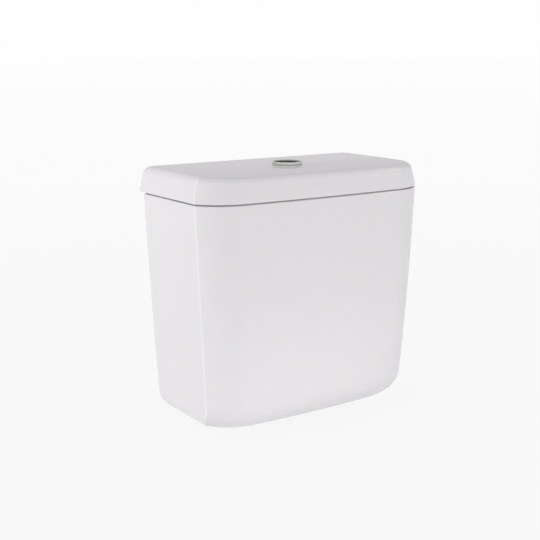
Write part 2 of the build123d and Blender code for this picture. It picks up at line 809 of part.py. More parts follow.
# Lift yoke: collar on the tube's top, and an arm that hooks over the full flush rocker
collar_bottom = tube_top - yoke_collar_height
hook_inner = lift_y + contact_gap
hook_points = [(strap_inner, hook_under), (hook_inner, hook_under), (hook_inner, hook_top), (strap_outer, hook_top)]
with BuildPart() as lift_yoke:
    yoke_points = ring_points(hub_inner, hub_inner + yoke_collar_wall, collar_bottom, tube_top)
    revolve(turned(yoke_points), axis=Axis.Z)
    arm_start = tube_radius + fit_gap
    arm_top = collar_bottom + yoke_bar
    arm_points = [(arm_start, collar_bottom), (arm_start, arm_top), (strap_inner, arm_top), *hook_points]
    arm_points.append((strap_outer, collar_bottom))
    yoke_plane = Plane.YZ.offset(-button_spacing / 2 - yoke_width / 2)
    extrude(strip(arm_points, yoke_plane), amount=yoke_width)
finish(lift_yoke, "lift_yoke")

# Half flush rod: hooks over the other rocker, slides in the tower's guides and is notched for its float
with BuildPart() as half_rod:
    rod_outline = [(strap_inner, half_rod_bottom), *hook_points, (strap_outer, half_rod_bottom)]
    mirrored = [(-u, v) for u, v in rod_outline]
    half_plane = Plane.YZ.offset(button_spacing / 2 - yoke_width / 2)
    extrude(strip(mirrored, half_plane), amount=yoke_width)
    notches = int((upper_guide - half_rod_bottom - guide_height) / notch_pitch)
    with BuildSketch(Plane.XZ.offset(strap_outer + overrun)):
        for notch in range(1, notches):
            for edge in (-1, 1):
                with Locations((button_spacing / 2 + edge * yoke_width / 2, half_rod_bottom + notch * notch_pitch)):
                    Circle(notch_depth)
    extrude(amount=-yoke_bar - 2 * overrun, mode=Mode.SUBTRACT)
finish(half_rod, "half_flush_rod")

# Half flush float: an inverted box with two clip ears that grip the rod's notched edges
with BuildPart() as half_float:
    float_back = -(strap_outer + fit_gap)
    float_middle = float_back - half_float_depth / 2
    with BuildSketch(Plane.XY.offset(half_float_bottom)):
        with Locations((button_spacing / 2, float_middle)):
            RectangleRounded(half_float_width, half_float_depth, half_float_grip)
    extrude(amount=half_float_height)
    with BuildSketch(Plane.XY.offset(half_float_bottom)):
        with Locations((button_spacing / 2, float_middle)):
            Rectangle(half_float_width - 2 * half_float_wall, half_float_depth - 2 * half_float_wall)
    extrude(amount=half_float_height - half_float_wall, mode=Mode.SUBTRACT)
    ear_offset = yoke_width / 2 + fit_gap + half_float_grip / 2
    with BuildSketch(Plane.XY.offset(half_float_bottom + half_float_height / 3)):
        for edge in (-1, 1):
            with Locations((button_spacing / 2 + edge * ear_offset, float_back + yoke_bar / 2)):
                Rectangle(half_float_grip, yoke_bar)
    extrude(amount=half_float_height / 3)
finish(half_float, "half_flush_float")

# Rocker bridge: ring on the tower's plate and two cheeks that carry the rocker pins
with BuildPart() as bridge:
    bridge_radius = tower_radius - tower_wall / 2
    revolve(turned(ring_points(bridge_inner_radius, bridge_radius, tower_top, bridge_top)), axis=Axis.Z)
    cheek_top = pivot_height + pivot_margin
    window_top = pivot_height - pivot_margin
    window_bottom = bridge_top + pivot_margin
    for side in (-1, 1):
        cheek_start = side * cheek_gap / 2
        with BuildSketch(Plane.YZ.offset(cheek_start)):
            with BuildLine():
                Polyline(
                    (-cheek_width / 2, bridge_top),
                    (cheek_width / 2, bridge_top),
                    (cheek_top_width / 2, cheek_top),
                    (-cheek_top_width / 2, cheek_top),
                    close=True,
                )
            make_face()
            with Locations((0, (window_top + window_bottom) / 2)):
                SlotOverall(window_top - window_bottom, cheek_window_width, rotation=90, mode=Mode.SUBTRACT)
            with Locations((-pivot_offset, pivot_height), (pivot_offset, pivot_height)):
                Circle(pin_radius + fit_gap, mode=Mode.SUBTRACT)
        extrude(amount=side * cheek_thickness)
finish(bridge, "rocker_bridge")

# Rocker pins: one through each pivot, headed at one end
with BuildPart() as pins:
    pin_reach = cheek_gap / 2 + cheek_thickness
    for side in (-1, 1):
        with BuildSketch(Plane.YZ.offset(-pin_reach - pin_head / 2)):
            with Locations((side * pivot_offset, pivot_height)):
                Circle(pin_radius)
        extrude(amount=2 * pin_reach + pin_head)
        with BuildSketch(Plane.YZ.offset(pin_reach)):
            with Locations((side * pivot_offset, pivot_height)):
                Circle(pin_head_radius)
        extrude(amount=pin_head)
finish(pins, "rocker_pins")

# Rockers: a pad under the push rod, a long hub on the pin and a nose under the hook
for name, side in (("full_flush_rocker", 1), ("half_flush_rocker", -1)):
    with BuildPart() as rocker:
        beam = [
            (side * pad_y, pad_z, pad_nose_radius),
            (side * pivot_offset, pivot_height, rocker_hub_radius),
            (side * lift_y, lift_z, lift_nose_radius),
        ]
        beam_plane = Plane.YZ.offset(-side * button_spacing / 2 - rocker_width / 2)
        extrude(hull_of(beam, beam_plane), amount=rocker_width)
        hub_half = cheek_gap / 2 - slide_gap
        with BuildSketch(Plane.YZ.offset(-hub_half)):
            with Locations((side * pivot_offset, pivot_height)):
                Circle((rocker_hub_radius + pin_radius) / 2)
        extrude(amount=2 * hub_half)
        with BuildSketch(Plane.YZ.offset(-hub_half - overrun)):
            with Locations((side * pivot_offset, pivot_height)):
                Circle(pin_radius + pin_fit)
        extrude(amount=2 * hub_half + 2 * overrun, mode=Mode.SUBTRACT)
    finish(rocker, name)

# Fill valve riser: threaded inlet tail, flange and the tube that feeds the head
with BuildPart() as riser:
    riser_points = [
        (inlet_bore_radius, -inlet_tail),
        (inlet_thread_radius, -inlet_tail),
        (inlet_thread_radius, foot_recess - fill_nut_height - fit_gap),
        (inlet_shank_radius, foot_recess - fill_nut_height - fit_gap),
        (inlet_shank_radius, fill_flange_bottom),
        (fill_flange_radius, fill_flange_bottom),
        (fill_flange_radius, fill_flange_top),
        (riser_radius, fill_flange_top),
        (riser_radius, riser_top),
        (inlet_bore_radius, riser_top),
    ]
    revolve(turned(riser_points, fill_x, fill_y), axis=fill_axis)
finish(riser, "fill_valve_riser")

with BuildPart() as fill_washer:
    washer_inner = inlet_shank_radius + fit_gap
    washer_points = ring_points(washer_inner, fill_washer_radius, floor_top, fill_flange_bottom)
    revolve(turned(washer_points, fill_x, fill_y), axis=fill_axis)
finish(fill_washer, "fill_valve_washer")

with BuildPart() as fill_nut:
    with BuildSketch(Plane.XY.offset(foot_recess)):
        with Locations((fill_x, fill_y)):
            RegularPolygon(fill_nut_flats / 2, 6, major_radius=False)
            Circle(inlet_shank_radius + fit_gap, mode=Mode.SUBTRACT)
    extrude(amount=-fill_nut_height)
finish(fill_nut, "fill_valve_backnut")

# Inlet filter: slotted thimble inside the tail
with BuildPart() as inlet_filter:
    filter_bottom = filter_recess - inlet_tail
    filter_points = ring_points(filter_radius - filter_wall, filter_radius, filter_bottom, filter_bottom + filter_length)
    revolve(turned(filter_points, fill_x, fill_y), axis=fill_axis)
    with BuildSketch(Plane.XY.offset(filter_bottom + filter_length - filter_wall)):
        with Locations((fill_x, fill_y)):
            Circle(filter_radius - filter_wall / 2)
    extrude(amount=filter_wall)
    with BuildSketch(Plane.XY.offset(filter_bottom + filter_length / 4)):
        with Locations((fill_x, fill_y)):
            with PolarLocations(filter_radius, filter_slots):
                Rectangle(filter_radius / 2, filter_slot_width)
    extrude(amount=filter_length / 2, mode=Mode.SUBTRACT)
finish(inlet_filter, "inlet_filter")

# Outlet sleeve: leads the water down quietly, guides the float and stops it at its lowest
with BuildPart() as outlet_sleeve:
    sleeve_inner = sleeve_radius - sleeve_wall
    stop_top = fill_float_bottom - contact_gap
    sleeve_points = ring_points(sleeve_inner, sleeve_radius, sleeve_bottom, riser_top)
    revolve(turned(sleeve_points, fill_x, fill_y), axis=fill_axis)
    stop_points = [
        (sleeve_inner + sleeve_wall / 2, stop_top - sleeve_stop_height),
        (sleeve_radius, stop_top - sleeve_stop_height),
        (sleeve_stop_radius, stop_top - sleeve_stop_height / 2),
        (sleeve_stop_radius, stop_top),
        (sleeve_inner + sleeve_wall / 2, stop_top),
    ]
    revolve(turned(stop_points, fill_x, fill_y), axis=fill_axis)
    with BuildSketch(Plane.XY.offset(sleeve_bottom - overrun)):
        with Locations((fill_x, fill_y)):
            Rectangle(4 * sleeve_radius, sleeve_slot_width)
            Rectangle(sleeve_slot_width, 4 * sleeve_radius)
    extrude(amount=sleeve_slot_height, mode=Mode.SUBTRACT)
finish(outlet_sleeve, "outlet_sleeve")

# Valve head with the socket that holds the sleeve
with BuildPart() as head:
    socket_inner = sleeve_radius + fit_gap
    socket_outer = socket_inner + head_socket_wall
    head_points = [
        (head_bore_radius, riser_top),
        (socket_inner, riser_top),
        (socket_inner, riser_top - head_socket),
        (socket_outer, riser_top - head_socket),
        (head_radius, riser_top + head_socket_wall),
        (head_radius, head_top),
        (head_bore_radius, head_top),
    ]
    revolve(turned(head_points, fill_x, fill_y), axis=fill_axis)
finish(head, "fill_valve_head")

with BuildPart() as diaphragm:
    with BuildSketch(Plane.XY.offset(head_top)):
        with Locations((fill_x, fill_y)):
            Circle(diaphragm_radius)
    extrude(amount=diaphragm_height)
finish(diaphragm, "fill_valve_diaphragm")

# Ribbed cap over the diaphragm, with two ears for the float arm's pin
ear_gap = arm_width + 2 * slide_gap
with BuildPart() as cap:
    cap_shoulder = cap_top - diaphragm_height
    cap_points = [
        (0, head_top + diaphragm_height),
        (diaphragm_radius + fit_gap, head_top + diaphragm_height),
        (diaphragm_radius + fit_gap, head_top),
        (cap_radius, head_top),
        (cap_radius, cap_shoulder),
        (cap_radius - diaphragm_height, cap_top),
        (0, cap_top),
    ]
    revolve(turned(cap_points, fill_x, fill_y), axis=fill_axis)
    with BuildSketch(Plane.XY.offset(head_top)):
        with Locations((fill_x, fill_y)):
            with PolarLocations(cap_radius, cap_ribs):
                Circle(cap_rib_radius)
    extrude(amount=cap_shoulder - head_top)
    for side in (-1, 1):
        ear_start = fill_y + side * ear_gap / 2
        with BuildSketch(Plane.XZ.offset(-ear_start)):
            with Locations((arm_pivot_x, arm_pivot_z)):
                Circle(ear_radius)
            with Locations((arm_pivot_x, cap_top + (arm_pivot_z - cap_top) / 2)):
                Rectangle(2 * ear_radius, arm_pivot_z - cap_top)
            with Locations((arm_pivot_x, arm_pivot_z)):
                Circle(arm_pin_radius + fit_gap, mode=Mode.SUBTRACT)
        extrude(amount=-side * ear_thickness)
finish(cap, "fill_valve_cap")

# Float arm: hub on its pin, a slotted end round the adjusting rod and a nose over the pilot
with BuildPart() as float_arm:
    nose_x = arm_pivot_x + arm_nose * cos(half_arm_swing)
    nose_z = arm_pivot_z + arm_nose * sin(half_arm_swing)
    arm_outline = [
        (rod_x, arm_end_z, arm_end_radius),
        (arm_pivot_x, arm_pivot_z, arm_hub_radius),
        (nose_x, nose_z, arm_hub_radius / 2),
    ]
    extrude(hull_of(arm_outline, Plane.XZ.offset(-fill_y - arm_width / 2)), amount=arm_width)
    # The slot is square to the arm, so that the upright rod clears it equally at both ends of the swing
    along_arm = (cos(half_arm_swing), 0, sin(half_arm_swing))
    across_arm = (-sin(half_arm_swing), 0, cos(half_arm_swing))
    slot_plane = Plane(origin=(rod_x, fill_y, arm_end_z), x_dir=along_arm, z_dir=across_arm)
    with BuildSketch(slot_plane.offset(-2 * arm_end_radius)):
        Rectangle(2 * (fill_rod_radius + arm_slot_gap), 2 * (fill_rod_radius + slide_gap))
    extrude(amount=4 * arm_end_radius, mode=Mode.SUBTRACT)
    with BuildSketch(Plane.XZ.offset(-fill_y - arm_width)):
        with Locations((arm_pivot_x, arm_pivot_z)):
            Circle(arm_pin_radius + pin_fit)
    extrude(amount=2 * arm_width, mode=Mode.SUBTRACT)
finish(float_arm, "float_arm")

with BuildPart() as arm_pin:
    arm_pin_reach = ear_gap / 2 + ear_thickness
    with BuildSketch(Plane.XZ.offset(-fill_y - arm_pin_reach)):
        with Locations((arm_pivot_x, arm_pivot_z)):
            Circle(arm_pin_radius)
    extrude(amount=2 * arm_pin_reach)
finish(arm_pin, "float_arm_pin")

# Fill float: an inverted ring cup that slides on the sleeve, with guide ribs and a socket for its rod
with BuildPart() as fill_float:
    inner = sleeve_radius + fill_float_gap
    float_shell = [
        (inner, fill_float_bottom),
        (inner + fill_float_wall, fill_float_bottom),
        (inner + fill_float_wall, fill_float_top - fill_float_wall),
        (fill_float_radius - fill_float_wall, fill_float_top - fill_float_wall),
        (fill_float_radius - fill_float_wall, fill_float_bottom),
        (fill_float_radius, fill_float_bottom),
        (fill_float_radius, fill_float_top - fill_float_wall),
        (fill_float_radius - fill_float_wall, fill_float_top),
        (inner, fill_float_top),
    ]
    revolve(turned(float_shell, fill_x, fill_y), axis=fill_axis)
    with BuildSketch(Plane.XY.offset(fill_float_bottom)):
        with Locations((fill_x, fill_y)):
            with PolarLocations(inner, fill_float_ribs):
                Rectangle(fill_float_wall, fill_float_rib_width)
            Circle(inner + fill_float_wall / 2, mode=Mode.INTERSECT)
            Circle(sleeve_radius + slide_gap, mode=Mode.SUBTRACT)
    extrude(amount=fill_float_height)
    with BuildSketch(Plane.XY.offset(fill_float_top)):
        with Locations((rod_x, fill_y)):
            Circle(fill_rod_radius + fit_gap + rod_socket_wall)
            Circle(fill_rod_radius + fit_gap, mode=Mode.SUBTRACT)
    extrude(amount=rod_socket)
finish(fill_float, "fill_float")

# Adjusting rod with a collar under the arm, and the clip above it
collar_top = arm_end_z - arm_end_radius - arm_play
clip_bottom = arm_end_z + arm_end_radius + arm_play
rod_axis = Axis((rod_x, fill_y, 0), (0, 0, 1))
with BuildPart() as adjusting_rod:
    adjusting_points = [
        (0, fill_float_top),
        (fill_rod_radius, fill_float_top),
        (fill_rod_radius, collar_top - collar_height),
        (collar_radius, collar_top - collar_height),
        (collar_radius, collar_top),
        (fill_rod_radius, collar_top),
        (fill_rod_radius, clip_bottom + clip_height + fill_rod_above),
        (0, clip_bottom + clip_height + fill_rod_above),
    ]
    revolve(turned(adjusting_points, rod_x, fill_y), axis=rod_axis)
finish(adjusting_rod, "float_adjusting_rod")

with BuildPart() as clip:
    clip_bore = fill_rod_radius + fit_gap
    clip_points = [
        (clip_bore, clip_bottom),
        (collar_radius, clip_bottom),
        (clip_radius, clip_bottom + clip_radius - collar_radius),
        (clip_radius, clip_bottom + clip_height),
        (clip_bore, clip_bottom + clip_height),
    ]
    revolve(turned(clip_points, rod_x, fill_y), axis=rod_axis)
finish(clip, "float_adjusting_clip")
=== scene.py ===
import bpy
import json
import numpy as np
from math import atan, atan2, cos, pi, radians, sin, sqrt
from mathutils import Matrix, Vector

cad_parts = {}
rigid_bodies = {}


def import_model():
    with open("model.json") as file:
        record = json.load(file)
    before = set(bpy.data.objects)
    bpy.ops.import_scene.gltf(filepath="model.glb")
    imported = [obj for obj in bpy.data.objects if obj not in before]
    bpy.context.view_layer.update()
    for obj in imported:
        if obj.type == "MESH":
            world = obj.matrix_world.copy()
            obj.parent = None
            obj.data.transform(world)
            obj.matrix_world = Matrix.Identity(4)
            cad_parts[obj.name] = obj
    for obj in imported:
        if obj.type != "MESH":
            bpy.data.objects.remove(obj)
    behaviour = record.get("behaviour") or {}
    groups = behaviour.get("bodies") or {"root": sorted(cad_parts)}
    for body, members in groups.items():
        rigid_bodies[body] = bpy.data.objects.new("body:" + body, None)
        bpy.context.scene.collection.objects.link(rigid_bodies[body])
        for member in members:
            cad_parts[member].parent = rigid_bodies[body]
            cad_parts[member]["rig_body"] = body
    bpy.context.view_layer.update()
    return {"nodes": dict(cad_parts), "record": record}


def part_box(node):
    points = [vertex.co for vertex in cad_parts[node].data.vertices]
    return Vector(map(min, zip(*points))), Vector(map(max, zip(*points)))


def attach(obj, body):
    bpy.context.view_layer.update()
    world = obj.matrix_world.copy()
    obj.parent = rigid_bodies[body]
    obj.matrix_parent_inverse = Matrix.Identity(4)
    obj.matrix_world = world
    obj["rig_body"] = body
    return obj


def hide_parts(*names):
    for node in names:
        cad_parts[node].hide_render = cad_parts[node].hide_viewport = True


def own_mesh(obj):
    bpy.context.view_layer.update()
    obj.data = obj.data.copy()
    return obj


# Toilet cistern: looks only. Lengths are in millimetres and become metres when a mesh is made, and those of
# the lamps are in metres.
# +Z up, the front faces -Y, the origin lies on the flush outlet's axis in the plane of the foot.

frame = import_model()
nodes = frame["nodes"]
scene = bpy.context.scene
scene.view_settings.view_transform = "Standard"
MM = 0.001


# Colours and shader nodes


def colour(hexes):
    """sRGB hex colour as linear RGBA."""
    values = [int(hexes[i : i + 2], 16) / 255 for i in (1, 3, 5)]
    return [v / 12.92 if v <= 0.04045 else ((v + 0.055) / 1.055) ** 2.4 for v in values] + [1.0]


def feed(target, inputs):
    """Sets a shader node's inputs, given in order or by name or index: constants, or other nodes' outputs."""
    pairs = inputs.items() if isinstance(inputs, dict) else enumerate(inputs)
    for key, value in pairs:
        if isinstance(value, bpy.types.NodeSocket):
            target.id_data.links.new(value, target.inputs[key])
        else:
            target.inputs[key].default_value = value


def add_node(tree, kind, inputs=(), out=0, **settings):
    """Adds a shader node with its settings and links, and gives one of its outputs."""
    made = tree.nodes.new("ShaderNode" + kind)
    for key, value in settings.items():
        setattr(made, key, value)
    feed(made, inputs)
    return made.outputs[out] if len(made.outputs) else None


def new_material(name, constants):
    """A node material with these constants on its Principled shader; gives it, its tree and the shader."""
    material = bpy.data.materials.new(name)
    material.use_nodes = True
    tree = material.node_tree
    shader = next(n for n in tree.nodes if n.type == "BSDF_PRINCIPLED")
    feed(shader, constants)
    return material, tree, shader


def millimetres(tree):
    """Object coordinates in millimetres, so that a pattern's Scale is 1 over its size."""
    place = add_node(tree, "TexCoord", out="Object")
    return add_node(tree, "VectorMath", {0: place, "Scale": 1 / MM}, operation="SCALE")


def china():
    """Vitreous china, slip cast and glazed: deep wet gloss with a slow waviness, a painted highlight along
    the upright edge arcs, bare and matt where it stood in the kiln, the bare clay also greyed as painted seam
    shade."""
    wave, ripple, grit_size = 34.0, 4.5, 0.45
    glossy, matt, relief_height = 0.07, 0.8, 0.07
    material, tree, shader = new_material("vitreous_china_glazed", {
        "Base Color": colour("#F2F2F1"), "Roughness": glossy, "IOR": 1.5,
        "Subsurface Weight": 0.06, "Subsurface Scale": 0.002})
    place = millimetres(tree)
    slow = add_node(tree, "TexNoise", {"Vector": place, "Scale": 1 / wave, "Detail": 1.0})
    fine = add_node(tree, "TexNoise", {"Vector": place, "Scale": 1 / ripple, "Detail": 2.0})
    sand = {"Vector": place, "Scale": 1 / grit_size, "Detail": 3.0, "Roughness": 0.6}
    grit = add_node(tree, "TexNoise", sand)
    mask = add_node(tree, "Attribute", out="Fac", attribute_name="bare")
    ragged = add_node(tree, "Math", [fine, 0.35, mask], operation="MULTIPLY_ADD")
    bare = add_node(tree, "MapRange", [ragged, 0.55, 0.75])
    speck = add_node(tree, "MapRange", [grit, 0.3, 0.7])
    # Bare unglazed clay, matt; its grey is kept dark partly as painted shade in the seam between lid and
    # tank.
    clay = add_node(tree, "Mix", {0: speck, 6: colour("#C4C4C6"), 7: colour("#D6D6D7")}, 2, data_type="RGBA")
    # Painted highlight: the glaze is lighter along the edge arcs, where the edge attribute is up, standing in
    # for a lamp's glint.
    highlight_share = add_node(tree, "Attribute", out="Fac", attribute_name="edge")
    glaze = add_node(tree, "Mix", {0: highlight_share, 6: colour("#F3F1F3"), 7: colour("#FDFCFD")}, 2, data_type="RGBA")
    shallow = add_node(tree, "Math", [fine, 0.07], operation="MULTIPLY")
    relief = add_node(tree, "Math", [slow, 0.9, shallow], operation="MULTIPLY_ADD")
    sandy = add_node(tree, "Math", [grit, 0.1], operation="MULTIPLY")
    height = add_node(tree, "Math", [sandy, bare, relief], operation="MULTIPLY_ADD")
    bump = {"Height": height, "Distance": relief_height * MM, "Strength": 1.0}
    feed(shader, {
        "Base Color": add_node(tree, "Mix", {0: bare, 6: glaze, 7: clay}, 2, data_type="RGBA"),
        "Roughness": add_node(tree, "MapRange", [bare, 0.0, 1.0, glossy, matt]),
        "Normal": add_node(tree, "Bump", bump)})
    return material


def chrome():
    """Bright chrome plate on moulded ABS: a mirror, with the plate's faint waviness and a few wiping marks;
    down the bezel's bore it is painted near black, matt and not metal: painted shade and dark reflection."""
    waviness, wiping, relief_height = 9.0, 7.0, 0.05
    material, tree, shader = new_material("chrome_plated_abs_mirror", {
        "Base Color": colour("#DADCDC"), "Roughness": 0.05, "Metallic": 1.0})
    place = millimetres(tree)
    waves = add_node(tree, "TexNoise", {"Vector": place, "Scale": 1 / waviness, "Detail": 1.0})
    marks = add_node(tree, "TexNoise", {"Vector": place, "Scale": 1 / wiping, "Detail": 3.0})
    plate = add_node(tree, "MapRange", [marks, 0.35, 0.75, 0.035, 0.10])
    # Painted shade and dark reflection: where the bare attribute is up, down the bezel's bore, the chrome
    # turns near black and matt.
    bore = add_node(tree, "Attribute", out="Fac", attribute_name="bare")
    tone = {0: bore, 6: colour("#CFD1CB"), 7: colour("#0A0A0A")}
    feed(shader, {
        "Base Color": add_node(tree, "Mix", tone, 2, data_type="RGBA"),
        "Roughness": add_node(tree, "Math", [bore, 0.6, plate], operation="MULTIPLY_ADD"),
        "Metallic": add_node(tree, "MapRange", [bore, 0.0, 1.0, 1.0, 0.0]),
        "Normal": add_node(tree, "Bump", {"Height": waves, "Distance": relief_height * MM, "Strength": 1.0})})
    return material


def plastic(name, base, light, roughness, grain_height):
    """Injection moulded plastic: even colour, a slightly lighter flow pattern, and a spark-eroded grain,
    drawn coarser than the real one so that it shows."""
    flow_size, sheen_size, grain_size = 16.0, 5.0, 0.35
    material, tree, shader = new_material(name, {
        "Base Color": colour(base), "Roughness": roughness, "IOR": 1.48})
    place = millimetres(tree)
    flow = add_node(tree, "TexNoise", {"Vector": place, "Scale": 1 / flow_size, "Detail": 3.0})
    sheen = add_node(tree, "TexNoise", {"Vector": place, "Scale": 1 / sheen_size, "Detail": 2.0})
    grain = add_node(tree, "TexNoise", {"Vector": place, "Scale": 1 / grain_size, "Detail": 2.0})
    share = add_node(tree, "MapRange", [flow, 0.3, 0.7])
    tone = {0: share, 6: colour(base), 7: colour(light)}
    feed(shader, {
        "Base Color": add_node(tree, "Mix", tone, 2, data_type="RGBA"),
        "Roughness": add_node(tree, "MapRange", [sheen, 0.3, 0.7, roughness - 0.05, roughness + 0.08]),
        "Normal": add_node(tree, "Bump", {"Height": grain, "Distance": grain_height * MM, "Strength": 1.0})})
    return material


def rubber(name, base, dusty):
    """Moulded rubber: matt, with the pale bloom that it gathers and a fine leathery grain."""
    bloom_size, grain_size, grain_height = 8.0, 0.5, 0.06
    material, tree, shader = new_material(name, {
        "Base Color": colour(base), "Roughness": 0.72, "IOR": 1.5})
    place = millimetres(tree)
    bloom = add_node(tree, "TexNoise", {"Vector": place, "Scale": 1 / bloom_size, "Detail": 4.0})
    grain = add_node(tree, "TexNoise", {"Vector": place, "Scale": 1 / grain_size, "Detail": 3.0})
    share = add_node(tree, "MapRange", [bloom, 0.45, 0.75])
    tone = {0: share, 6: colour(base), 7: colour(dusty)}
    feed(shader, {
        "Base Color": add_node(tree, "Mix", tone, 2, data_type="RGBA"),
        "Normal": add_node(tree, "Bump", {"Height": grain, "Distance": grain_height * MM, "Strength": 1.0})})
    return material


def steel():
    """Drawn stainless wire: satin metal with long fine draw lines."""
    line_height = 0.01
    material, tree, shader = new_material("stainless_steel_drawn", {
        "Base Color": colour("#B9BABB"), "Roughness": 0.28, "Metallic": 1.0})
    stretched = add_node(tree, "VectorMath", [millimetres(tree), (6.0, 6.0, 0.5)], operation="MULTIPLY")
    lines = add_node(tree, "TexNoise", {"Vector": stretched, "Scale": 1.0, "Detail": 2.0})
    feed(shader, {
        "Roughness": add_node(tree, "MapRange", [lines, 0.3, 0.7, 0.22, 0.36]),
        "Normal": add_node(tree, "Bump", {"Height": lines, "Distance": line_height * MM, "Strength": 1.0})})
    return material


def clear():
    """Clear flexible PVC washer, moulded: see-through, with a slightly cloudy surface."""
    cloud_size = 3.0
    material, tree, shader = new_material("clear_pvc_moulded", {
        "Base Color": colour("#EFF3F3"), "Roughness": 0.18, "IOR": 1.45, "Transmission Weight": 0.85})
    clouds = add_node(tree, "TexNoise", {"Vector": millimetres(tree), "Scale": 1 / cloud_size, "Detail": 2.0})
    feed(shader, {"Roughness": add_node(tree, "MapRange", [clouds, 0.3, 0.7, 0.12, 0.3])})
    return material


MATERIALS = {
    "vitreous_china": china(),
    "chrome_plated_abs": chrome(),
    "white_polypropylene": plastic("white_polypropylene_moulded", "#E3E3DE", "#EBEBE7", 0.34, 0.012),
    "grey_polypropylene": plastic("grey_polypropylene_moulded", "#8A8E92", "#93979B", 0.42, 0.02),
    "blue_polypropylene": plastic("blue_polypropylene_moulded", "#2A62A6", "#3470B4", 0.40, 0.02),
    "black_rubber": rubber("black_rubber_moulded", "#1C1C1D", "#2C2C2D"),
    "red_silicone": rubber("red_silicone_moulded", "#9C3A2C", "#AC4C3C"),
    "stainless_steel": steel(),
    "clear_pvc": clear(),
}
SLOTS = {row["node"]: row["material_slot"] for row in frame["record"]["subparts"]}
for name, node in nodes.items():
    node.data.materials.clear()
    node.data.materials.append(MATERIALS[SLOTS[name]])


# Meshes from rows of points


def make_piece(name, points, faces, node=None, slot=None, bare=None, sharp=35):
    """Mesh object from points in millimetres, with the finish of a slot or of a CAD node; bare masks its
    glaze or plate, and edges over the angle sharp, in degrees, stay sharp."""
    mesh = bpy.data.meshes.new(name)
    mesh.from_pydata((np.asarray(points, float) * MM).tolist(), [], faces)
    mesh.validate()
    if bare is not None:
        mask = np.asarray(bare, np.float32)
        mesh.attributes.new("bare", "FLOAT", "POINT").data.foreach_set("value", mask)
    mesh.polygons.foreach_set("use_smooth", [True] * len(mesh.polygons))
    mesh.set_sharp_from_angle(angle=radians(sharp))
    made = bpy.data.objects.new(name, mesh)
    scene.collection.objects.link(made)
    if slot or node:
        own = slot or SLOTS[node]
        mesh.materials.append(MATERIALS[own])
    return made


def stand_in(made, node):
    """The piece takes over from a CAD node and rides on its body."""
    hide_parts(node)
    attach(made, nodes[node]["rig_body"])
    return made


def grid_faces(rows, columns, closed=False):
    """Quads of a grid of rows by columns: the last column joins the first, and the last row too if closed."""
    r = np.arange(rows if closed else rows - 1)[:, None]
    c = np.arange(columns)[None, :]
    r2, c2 = (r + 1) % rows, (c + 1) % columns
    quads = np.stack([r * columns + c, r * columns + c2, r2 * columns + c2, r2 * columns + c], -1)
    return quads.reshape(-1, 4).tolist()


SAME = 0.01  # radii closer than this are one wall
ROWS_PER_PITCH = 8


def lathe(points, steps=96, x=0.0, y=0.0, thread=None):
    """Turned solid: a closed profile of (radius, height) points swept round the upright axis at x, y.
    thread = (z0, z1, pitch, depth) cuts the outermost wall there, with t the turn from 0 to 1:
    radius - depth clip(0.5 - 0.75 cos 2 pi (z / pitch - t), 0, 1), fading out over one pitch at each end."""
    turn = np.linspace(0, 2 * pi, steps, endpoint=False)
    p = np.asarray(points, float)
    radius = np.repeat(p[:, :1], steps, 1)
    height = np.repeat(p[:, 1:2], steps, 1)
    if thread:
        z0, z1, pitch, depth = thread
        outermost = p[(p[:, 1] > z0) & (p[:, 1] < z1), 0].max() - SAME
        wall = (height > z0) & (height < z1) & (radius > outermost)
        wave = np.clip(0.5 - 0.75 * np.cos(2 * pi * (height / pitch - turn / (2 * pi))), 0, 1)
        fade = np.clip(np.minimum(height - z0, z1 - height) / pitch, 0, 1)
        radius = radius - wall * depth * wave * fade
    grid = np.stack([x + radius * np.cos(turn), y + radius * np.sin(turn), height], -1)
    return grid.reshape(-1, 3), grid_faces(len(p), steps, closed=True)


def with_thread_rows(profile, radius, z0, z1, pitch):
    """The profile with extra points, ROWS_PER_PITCH to a pitch, on the upright wall at this radius."""
    p = np.asarray(profile, float)
    out = []
    for i, (r, z) in enumerate(p):
        out.append((r, z))
        r2, z2 = p[(i + 1) % len(p)]
        if abs(r - radius) < SAME and abs(r2 - radius) < SAME:
            low, high = max(min(z, z2), z0), min(max(z, z2), z1)
            levels = np.arange(low, high, pitch / ROWS_PER_PITCH)[1:]
            out += [(radius, level) for level in (levels if z2 > z else levels[::-1])]
    return np.array(out)


def rounded(points, radii, steps=5):
    """Closed profile with rounded corners: each becomes an arc of the given radius, drawn in steps."""
    p = np.asarray(points, float)
    out = []
    for i, radius in enumerate(radii):
        here, before, after = p[i], p[i - 1], p[(i + 1) % len(p)]
        a, b = before - here, after - here
        la, lb = np.linalg.norm(a), np.linalg.norm(b)
        a, b = a / la, b / lb
        half = np.arccos(np.clip(a @ b, -1, 1)) / 2
        reach = min(radius / np.tan(half), 0.49 * la, 0.49 * lb)
        radius = reach * np.tan(half)
        centre = here + (a + b) / np.linalg.norm(a + b) * radius / np.sin(half)
        s, e = here + a * reach - centre, here + b * reach - centre
        a0 = atan2(s[1], s[0])
        sweep = (atan2(e[1], e[0]) - a0 + pi) % (2 * pi) - pi
        for k in range(steps + 1):
            t = a0 + sweep * k / steps
            out.append(centre + radius * np.array([cos(t), sin(t)]))
    return np.array(out)


def cylinder(x, y, z, radius, end_radius, length, axis="Z", steps=48):
    """Closed cone or cylinder from (x, y, z) along +axis."""
    t = np.linspace(0, 2 * pi, steps, endpoint=False)
    rows = []
    for r, h in ((radius, 0.0), (end_radius, length)):
        u, v, w = r * np.cos(t), r * np.sin(t), np.full(steps, h)
        rows.append(np.column_stack([x + u, y + v, z + w] if axis == "Z" else [x + v, y + w, z + u]))
    faces = grid_faces(2, steps)
    faces += [list(range(steps))[::-1], list(range(steps, 2 * steps))]
    return np.concatenate(rows), faces


